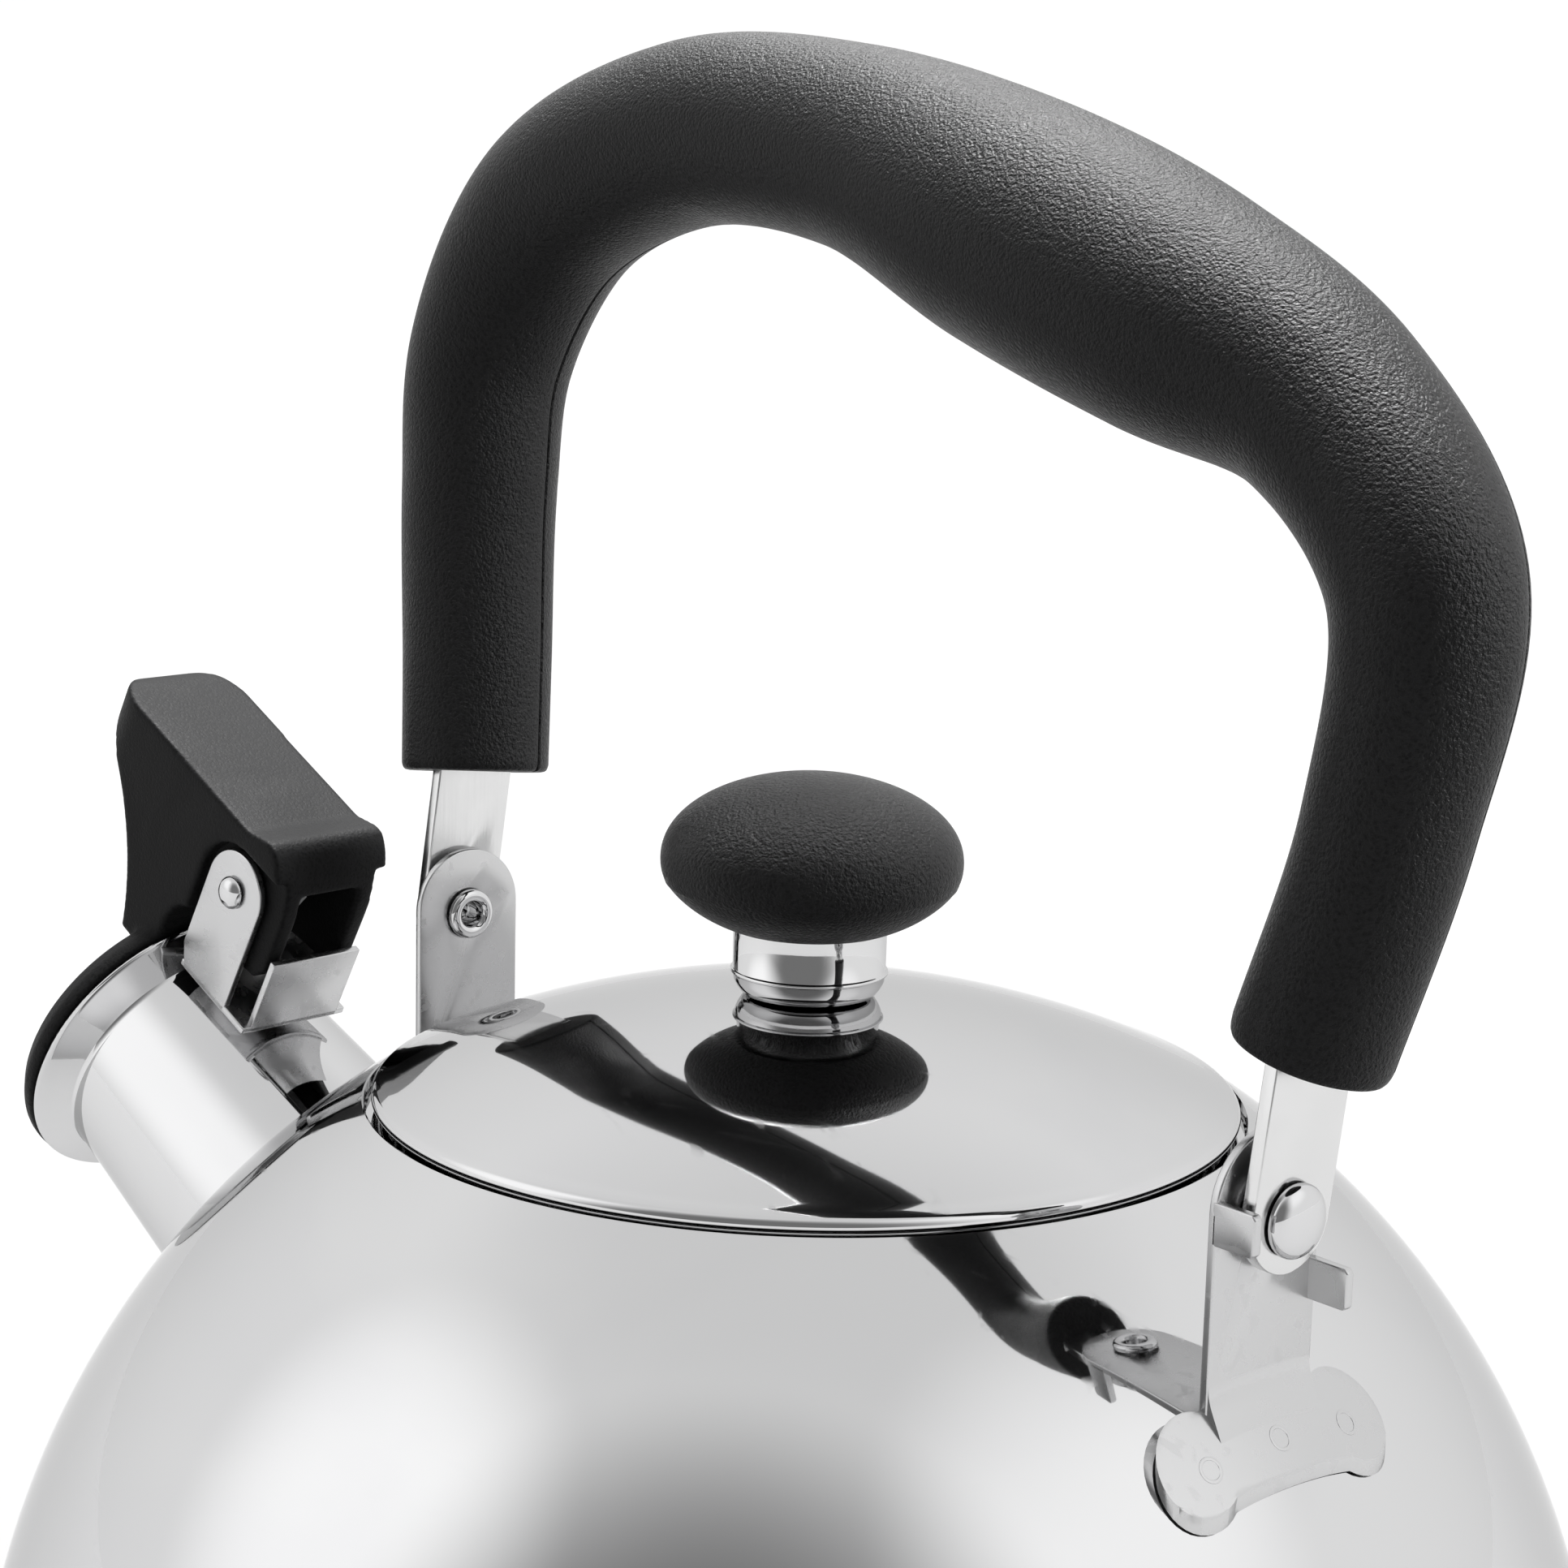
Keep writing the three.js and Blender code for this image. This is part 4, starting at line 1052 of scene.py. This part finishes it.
def screw_place(t):
    point, _, normal, radius = grip_frame(t)
    seat = point - normal * (STRAP_T / 2 + GAP + 3.2)
    return HANDLE_PLACE @ Matrix.Translation(seat) @ Matrix.Rotation(radians(-90), 4, "X"), radius


def make_grip_screw(name, t):
    place, radius = screw_place(t)
    top = radius - 3
    outline = [(0, -3), (1.5, -3), (1.5, top - 1.9), (2.4, top - 1.6), (2.75, top - 0.8), (2.5, top - 0.3)]
    outline += [(1.8, top - 0.05), (0, top)]
    screw = combined(turned(name, outline, 48), cross_recess(0.6, 2.8, top - 0.8, top + 1), "DIFFERENCE")
    return moved(screw, place)


def screw_well(t):
    place, radius = screw_place(t)
    outline = [(0, 0), (3.1, 0), (3.1, radius - 0.9), (3.6, radius + 0.2), (3.8, radius + 4), (0, radius + 4)]
    return moved(turned("well", outline, 48), place)


main_half = make_grip_half("grip_body", False)
cover_half = make_grip_half("grip_side_cover", True)
cover_half = combined(cover_half, [screw_well(t) for t in GRIP_SCREWS], "DIFFERENCE", 50)
fitted(main_half, "handle", "black_phenolic", GRIP_BLACK, "grip_main")
fitted(cover_half, "handle", "black_phenolic", GRIP_BLACK, "grip_cover")
for place, t in zip(("front", "rear"), GRIP_SCREWS):
    screw = make_grip_screw(f"{place}_grip_screw", t)
    fitted(screw, "handle", "satin_steel", SATIN, f"grip_screw_{place}")


# %% The strap
STRAP_INTO_GRIP = 24.0  # how high the flat ends run, to well inside the grip


def make_strap():
    half = STRAP_W / 2
    thick = STRAP_T / 2
    corner = 0.25
    band = [(-half, -thick + corner), (-half + corner, -thick)]
    band += [(half - corner, -thick), (half, -thick + corner)]
    band += [(half, thick - corner), (half - corner, thick)]
    band += [(-half + corner, thick), (-half, thick - corner)]
    rings = [[on_grip(i / 160, across, out) for across, out in band] for i in range(161)]
    legs = []
    for side in (-1, 1):
        outline = [*arc(0, 0, half, 180, 360, 32), (half, STRAP_INTO_GRIP), (-half, STRAP_INTO_GRIP)]
        end = slab("end", outline, -thick, thick)
        moved(end, Matrix.Translation((side * STRAP_X, 0, 0)) @ Matrix.Rotation(radians(90), 4, "Z"))
        hole = moved(turned("hole", [(0, -9), (2.8, -9), (2.8, 9), (0, 9)], 48),
                     Matrix.Translation((side * STRAP_X, 0, 0)) @ ALONG_X)
        end = rounded(combined(end, [hole], "DIFFERENCE"), corner)
        legs.append(moved(end, AXLE_ON_HANDLE))
    return moved(gathered("strap", [skinned("core", rings, 50), *legs]), HANDLE_PLACE)


fitted(make_strap(), "handle", "satin_steel", STRAP_STEEL, "bail_strap")


# %% [markdown]
# ## Whistle bracket
# A folded steel channel on top of the spout carries the lever's hinge pin between two ears. A tab
# bent up at the back of it stops the lever from swinging too far.

# %% Whistle bracket and hinge pin
PIN_S = 37.1
PIN_P = 41.8
EAR_OUT = 10.0
EAR_R = 6.6


TAB_TOP = 36.4
TAB_HALF = 8.4
PIN_IN_SPOUT = Matrix.Translation((PIN_S, 0, PIN_P)) @ Matrix.Rotation(radians(90), 4, "X")
ON_PIN = SPOUT_PLACE @ PIN_IN_SPOUT


def make_whistle_bracket():
    base = SPOUT_ROOT_R - 0.4
    start, end = 25.0, PIN_S + EAR_R - 1
    floor_outline = [(start, base), (end, base), (end, base + PLATE), (start, base + PLATE)]
    pieces = [slab("floor", floor_outline, -EAR_OUT, EAR_OUT, 0.3)]
    ear = [(PIN_S - EAR_R, base), (PIN_S + EAR_R - 2, base), (PIN_S + EAR_R, base + 4)]
    ear.append((PIN_S + EAR_R, PIN_P))
    ear += arc(PIN_S, PIN_P, EAR_R, 0, 180, 36)[1:]
    for low in (-EAR_OUT, EAR_OUT - PLATE):
        pieces.append(slab("ear", ear, low, low + PLATE, 0.25))
    tab = [(start, base), (start + PLATE, base), (start + PLATE, TAB_TOP), (start, TAB_TOP)]
    pieces.append(slab("tab", tab, -TAB_HALF, TAB_HALF, 0.25))
    return moved(gathered("whistle_channel", pieces), SPOUT_PLACE)


def make_hinge_pin():
    outer = EAR_OUT + GAP
    outline = [(0, -outer - 1.5), (1.0, -outer - 1.42), (1.9, -outer - 1.1), (2.5, -outer - 0.5)]
    outline += [(2.6, -outer - 0.1), (2.5, -outer), (1.6, -outer)]
    outline += [(r, -z) for r, z in reversed(outline)]
    pin = turned("lever_pin", outline, 64, 50)
    return moved(pin, ON_PIN)


fitted(make_whistle_bracket(), "kettle", "polished_steel", PRESSED, "whistle_bracket")
fitted(make_hinge_pin(), "kettle", "polished_steel", POLISHED, "hinge_pin")


# %% [markdown]
# ## Lever and whistle
# The lever is one moulding: a finger tip, a knuckle round the pin, a web down to the spout and the
# round cap that closes the mouth. Its side outline is given thickness, the ears' pockets and the
# hollow back are cut out, and then the whole is remade from small voxels and relaxed. That melts the
# sharp cuts into the soft radii that a moulding has, where a bevel would break on so many joins.

# %% Lever
CAP_S = SPOUT_LENGTH + 0.5
CAP_R = 26.0
TIP_REACH = 79.3  # the finger tip, along the spout's axis
TIP_CORNER = 9.6
HOLLOW_HALF = 5.5  # half the width of the hollow that the spring sits in


def bent(start, control, end, steps=10):
    """A curved stretch of an outline with one control point."""
    points = []
    for i in range(1, steps + 1):
        t = i / steps
        points.append(tuple(
            (1 - t) ** 2 * start[k] + 2 * t * (1 - t) * control[k] + t * t * end[k] for k in (0, 1)))
    return points


def lever_outline():
    outline = [(CAP_S, 19), (CAP_S, 27)]
    outline += bent((CAP_S, 27), (CAP_S - 1, 32.5), (44.5, 32.5))
    outline += [(39, 30), (28.5, 31.5), (26.8, 34), (26.6, 42)]
    outline += bent((26.6, 42), (26.8, 49), (30, 53))
    outline += bent((30, 53), (31.2, 54.6), (33, 54.6))
    outline += [(38, 53), (74, 53.6)]
    outline += bent((74, 53.6), (79.6, 53.6), (79.3, 48.5))
    outline += bent((79.3, 48.5), (68, 42), (61.5, 30))
    outline += bent((61.5, 30), (58.5, 24), (57.5, 19))
    return outline


def plan_of_lever(half_width, inset=0.0):
    """The lever's outline from above, with the corners of the finger tip rounded off."""
    corner = TIP_CORNER - inset
    middle = TIP_REACH - inset - corner
    across = half_width - inset - corner
    outline = [(0, -half_width + inset)]
    outline += arc(middle, -across, corner, -90, 0, 12) + arc(middle, across, corner, 0, 90, 12)
    outline += [(0, half_width - inset)]
    return moved(slab("plan", outline, 0, 80), Matrix.Rotation(radians(90), 4, "X"))


def make_lever():
    core, wide = EAR_OUT - PLATE - GAP, EAR_OUT + 0.7
    inner = slab("lever_core", lever_outline(), -core, core, 0.8)
    outer = slab("lever", lever_outline(), -wide, wide)
    outer = combined(outer, [plan_of_lever(wide)], "INTERSECT")
    inner = combined(inner, [plan_of_lever(wide, inset=0.8)], "INTERSECT")
    outer = rounded(outer, 2.0, segments=5, angle=50)
    pockets = []
    for low, high in ((core, wide + 1), (-wide - 1, -core)):
        reach = PIN_S + EAR_R + 1.2
        pocket = [(0, 0), (reach, 0), (reach, PIN_P), *arc(PIN_S, PIN_P, EAR_R + 1.2, 0, 90, 16)]
        pocket += [(0, PIN_P + EAR_R + 1.2)]
        pockets.append(slab("pocket", pocket, low, high))
    lever = combined(outer, pockets, "DIFFERENCE")
    cap = turned("cap", [(0, CAP_S), (CAP_R, CAP_S), (CAP_R, CAP_S + 2), (CAP_R - 1.6, CAP_S + 4.6),
                         (CAP_R - 6, CAP_S + 6), (0, CAP_S + 6)], 96)
    moved(cap, ALONG_X)
    lever = combined(lever, [inner, cap], "UNION")
    hollow_front, hollow_top = PIN_S + HOLLOW_HALF, PIN_P + HOLLOW_HALF
    hollow_outline = [(15, 28), (hollow_front, 28), (hollow_front, hollow_top), (15, hollow_top)]
    hollow = slab("hollow", hollow_outline, -HOLLOW_HALF, HOLLOW_HALF)
    bore = turned("bore", [(0, -20), (1.9, -20), (1.9, 20), (0, 20)], 32)
    moved(bore, PIN_IN_SPOUT)
    lever = combined(lever, [hollow, bore], "DIFFERENCE")
    voxels = lever.modifiers.new("voxels", "REMESH")
    voxels.mode = "VOXEL"
    voxels.voxel_size = 0.42 * MM
    relax = lever.modifiers.new("relax", "SMOOTH")
    relax.factor = 0.5
    relax.iterations = 9
    return moved(settle(lever, 60), SPOUT_PLACE)


fitted(make_lever(), "lever", "black_phenolic", LEVER_BLACK, "whistle_lever")


# %% [markdown]
# Inside the cap sits the whistle: a thin cup with a disc across it, and a small hole through both
# that sings when steam is forced through. A torsion spring round the pin keeps the cap shut.

# %% Whistle cup, and the inner pieces that keep their frame shape
def make_whistle_cup():
    r, depth, hole = 18.0, 3.2, 1.6
    back = CAP_S - GAP
    outline = [(r, back), (r, back - depth + 0.5), (r - 0.5, back - depth), (4.5, back - depth)]
    outline += [(3.6, back - depth - 0.5), (2.2, back - depth - 0.5), (hole, back - depth)]
    outline += [(hole, back - depth + 0.6), (r - 0.8, back - depth + 0.6), (r - 0.6, back)]
    return moved(turned("whistle_cup_face", outline, 96), SPOUT_PLACE @ ALONG_X)


fitted(make_whistle_cup(), "lever", "satin_steel", SATIN, "whistle_cup")
for inner_piece in ("whistle_disc", "lever_spring"):
    frame["nodes"][inner_piece].data.materials.clear()
    frame["nodes"][inner_piece].data.materials.append(SATIN)


# %% [markdown]
# ## Studio
# The kettle stands on a pale floor in a bright room. A mirror shows its room, so the room matters
# more than the lamps. It is near white all round, a little brighter on two walls, and falls off
# softly to grey on its open side, which draws the dark bloom low on the ball. One panel overhead and
# one behind give the black pieces their sheen, and light nothing else, so the steel shows no lamps.

# %% Floor and room
CAMERA_PLACE = Vector((0.2963, -0.2557, 0.2517))


def make_floor():
    reach = 6000.0
    floor = new_piece("floor", [(-reach, -reach, -0.2), (reach, -reach, -0.2), (reach, reach, -0.2),
                                (-reach, reach, -0.2)], [(0, 1, 2, 3)])
    material, tree, shader, where = blank("pale_floor", Roughness=0.6, Emission_Strength=0.22)
    shader.inputs["Emission Color"].default_value = (1, 1, 1, 1)
    fleck = node(tree, "ShaderNodeTexNoise", {"Vector": where, "Scale": 40.0, "Detail": 4.0})
    tree.links.new(mixed(tree, fleck.outputs["Fac"], (0.91, 0.91, 0.91), (0.94, 0.94, 0.94)),
                   shader.inputs["Base Color"])
    floor.data.materials.append(material)


def toward(azimuth, elevation):
    """A unit direction from its angles in degrees."""
    a, e = radians(azimuth), radians(elevation)
    return Vector((cos(e) * cos(a), cos(e) * sin(a), sin(e)))


def patch(tree, direction, azimuth, elevation, wide, narrow):
    """A soft round patch of the room: 0 outside the wide angle, 1 inside the narrow one."""
    facing = node(tree, "ShaderNodeVectorMath", {0: direction, 1: toward(azimuth, elevation)},
                  operation="DOT_PRODUCT")
    return ranged(tree, facing.outputs["Value"], cos(radians(wide)), cos(radians(narrow)))


def make_room():
    world = bpy.data.worlds.new("bright_room")
    world.use_nodes = True
    scene.world = world
    tree = world.node_tree
    direction = node(tree, "ShaderNodeTexCoord").outputs["Generated"]
    open_side = patch(tree, direction, -52, 12, 62, 24)
    ceiling = patch(tree, direction, 0, 90, 50, 5)
    left_wall = patch(tree, direction, -118, 28, 34, 8)
    right_wall = patch(tree, direction, 18, 40, 34, 8)
    level = maths(tree, "SUBTRACT", 1.02, maths(tree, "MULTIPLY", open_side, 0.80))
    level = maths(tree, "SUBTRACT", level, maths(tree, "MULTIPLY", ceiling, 0.18))
    level = maths(tree, "ADD", level, maths(tree, "MULTIPLY", left_wall, 0.34))
    level = maths(tree, "ADD", level, maths(tree, "MULTIPLY", right_wall, 0.24))
    background = tree.nodes["Background"]
    background.inputs["Color"].default_value = (1, 1, 1, 1)
    tree.links.new(level, background.inputs["Strength"])


def panel(name, place, target, width, height, power):
    lamp = bpy.data.lights.new(name, "AREA")
    lamp.shape = "RECTANGLE"
    lamp.size = width
    lamp.size_y = height
    lamp.energy = power
    holder = bpy.data.objects.new(name, lamp)
    holder.location = place
    holder.rotation_euler = (Vector(target) - Vector(place)).to_track_quat("-Z", "Y").to_euler()
    holder.light_linking.receiver_collection = black_pieces
    scene.collection.objects.link(holder)


make_floor()
make_room()
black_pieces = bpy.data.collections.new("black_pieces")
for piece in scene.objects:
    if piece.type == "MESH" and {GRIP_BLACK, LEVER_BLACK} & set(piece.data.materials):
        black_pieces.objects.link(piece)
panel("overhead_panel", (-0.30, 0.25, 1.15), (0, 0, 0.2), 0.6, 0.5, 46.0)
panel("back_panel", (0.75, 0.75, 0.75), (0, 0, 0.2), 0.35, 0.7, 16.0)


# %% [markdown]
# ## Camera
# The camera stands close, a little above the lid, and looks across at the spout side with a short
# telephoto lens. It stands nearly level, with a slight lean to one side.

# %% Camera
scene.view_settings.view_transform = "Standard"
camera_data = bpy.data.cameras.new("camera")
camera_data.lens = 70.49
camera_data.sensor_width = 36.0
camera_data.clip_start = 0.01
camera = bpy.data.objects.new("camera", camera_data)
turn = Matrix.Rotation(radians(49.78), 4, "Z") @ Matrix.Rotation(radians(79.44), 4, "X")
camera.matrix_world = Matrix.Translation(CAMERA_PLACE) @ turn @ Matrix.Rotation(radians(1.49), 4, "Z")
scene.collection.objects.link(camera)
scene.camera = camera


# %% Finish
bpy.context.view_layer.update()
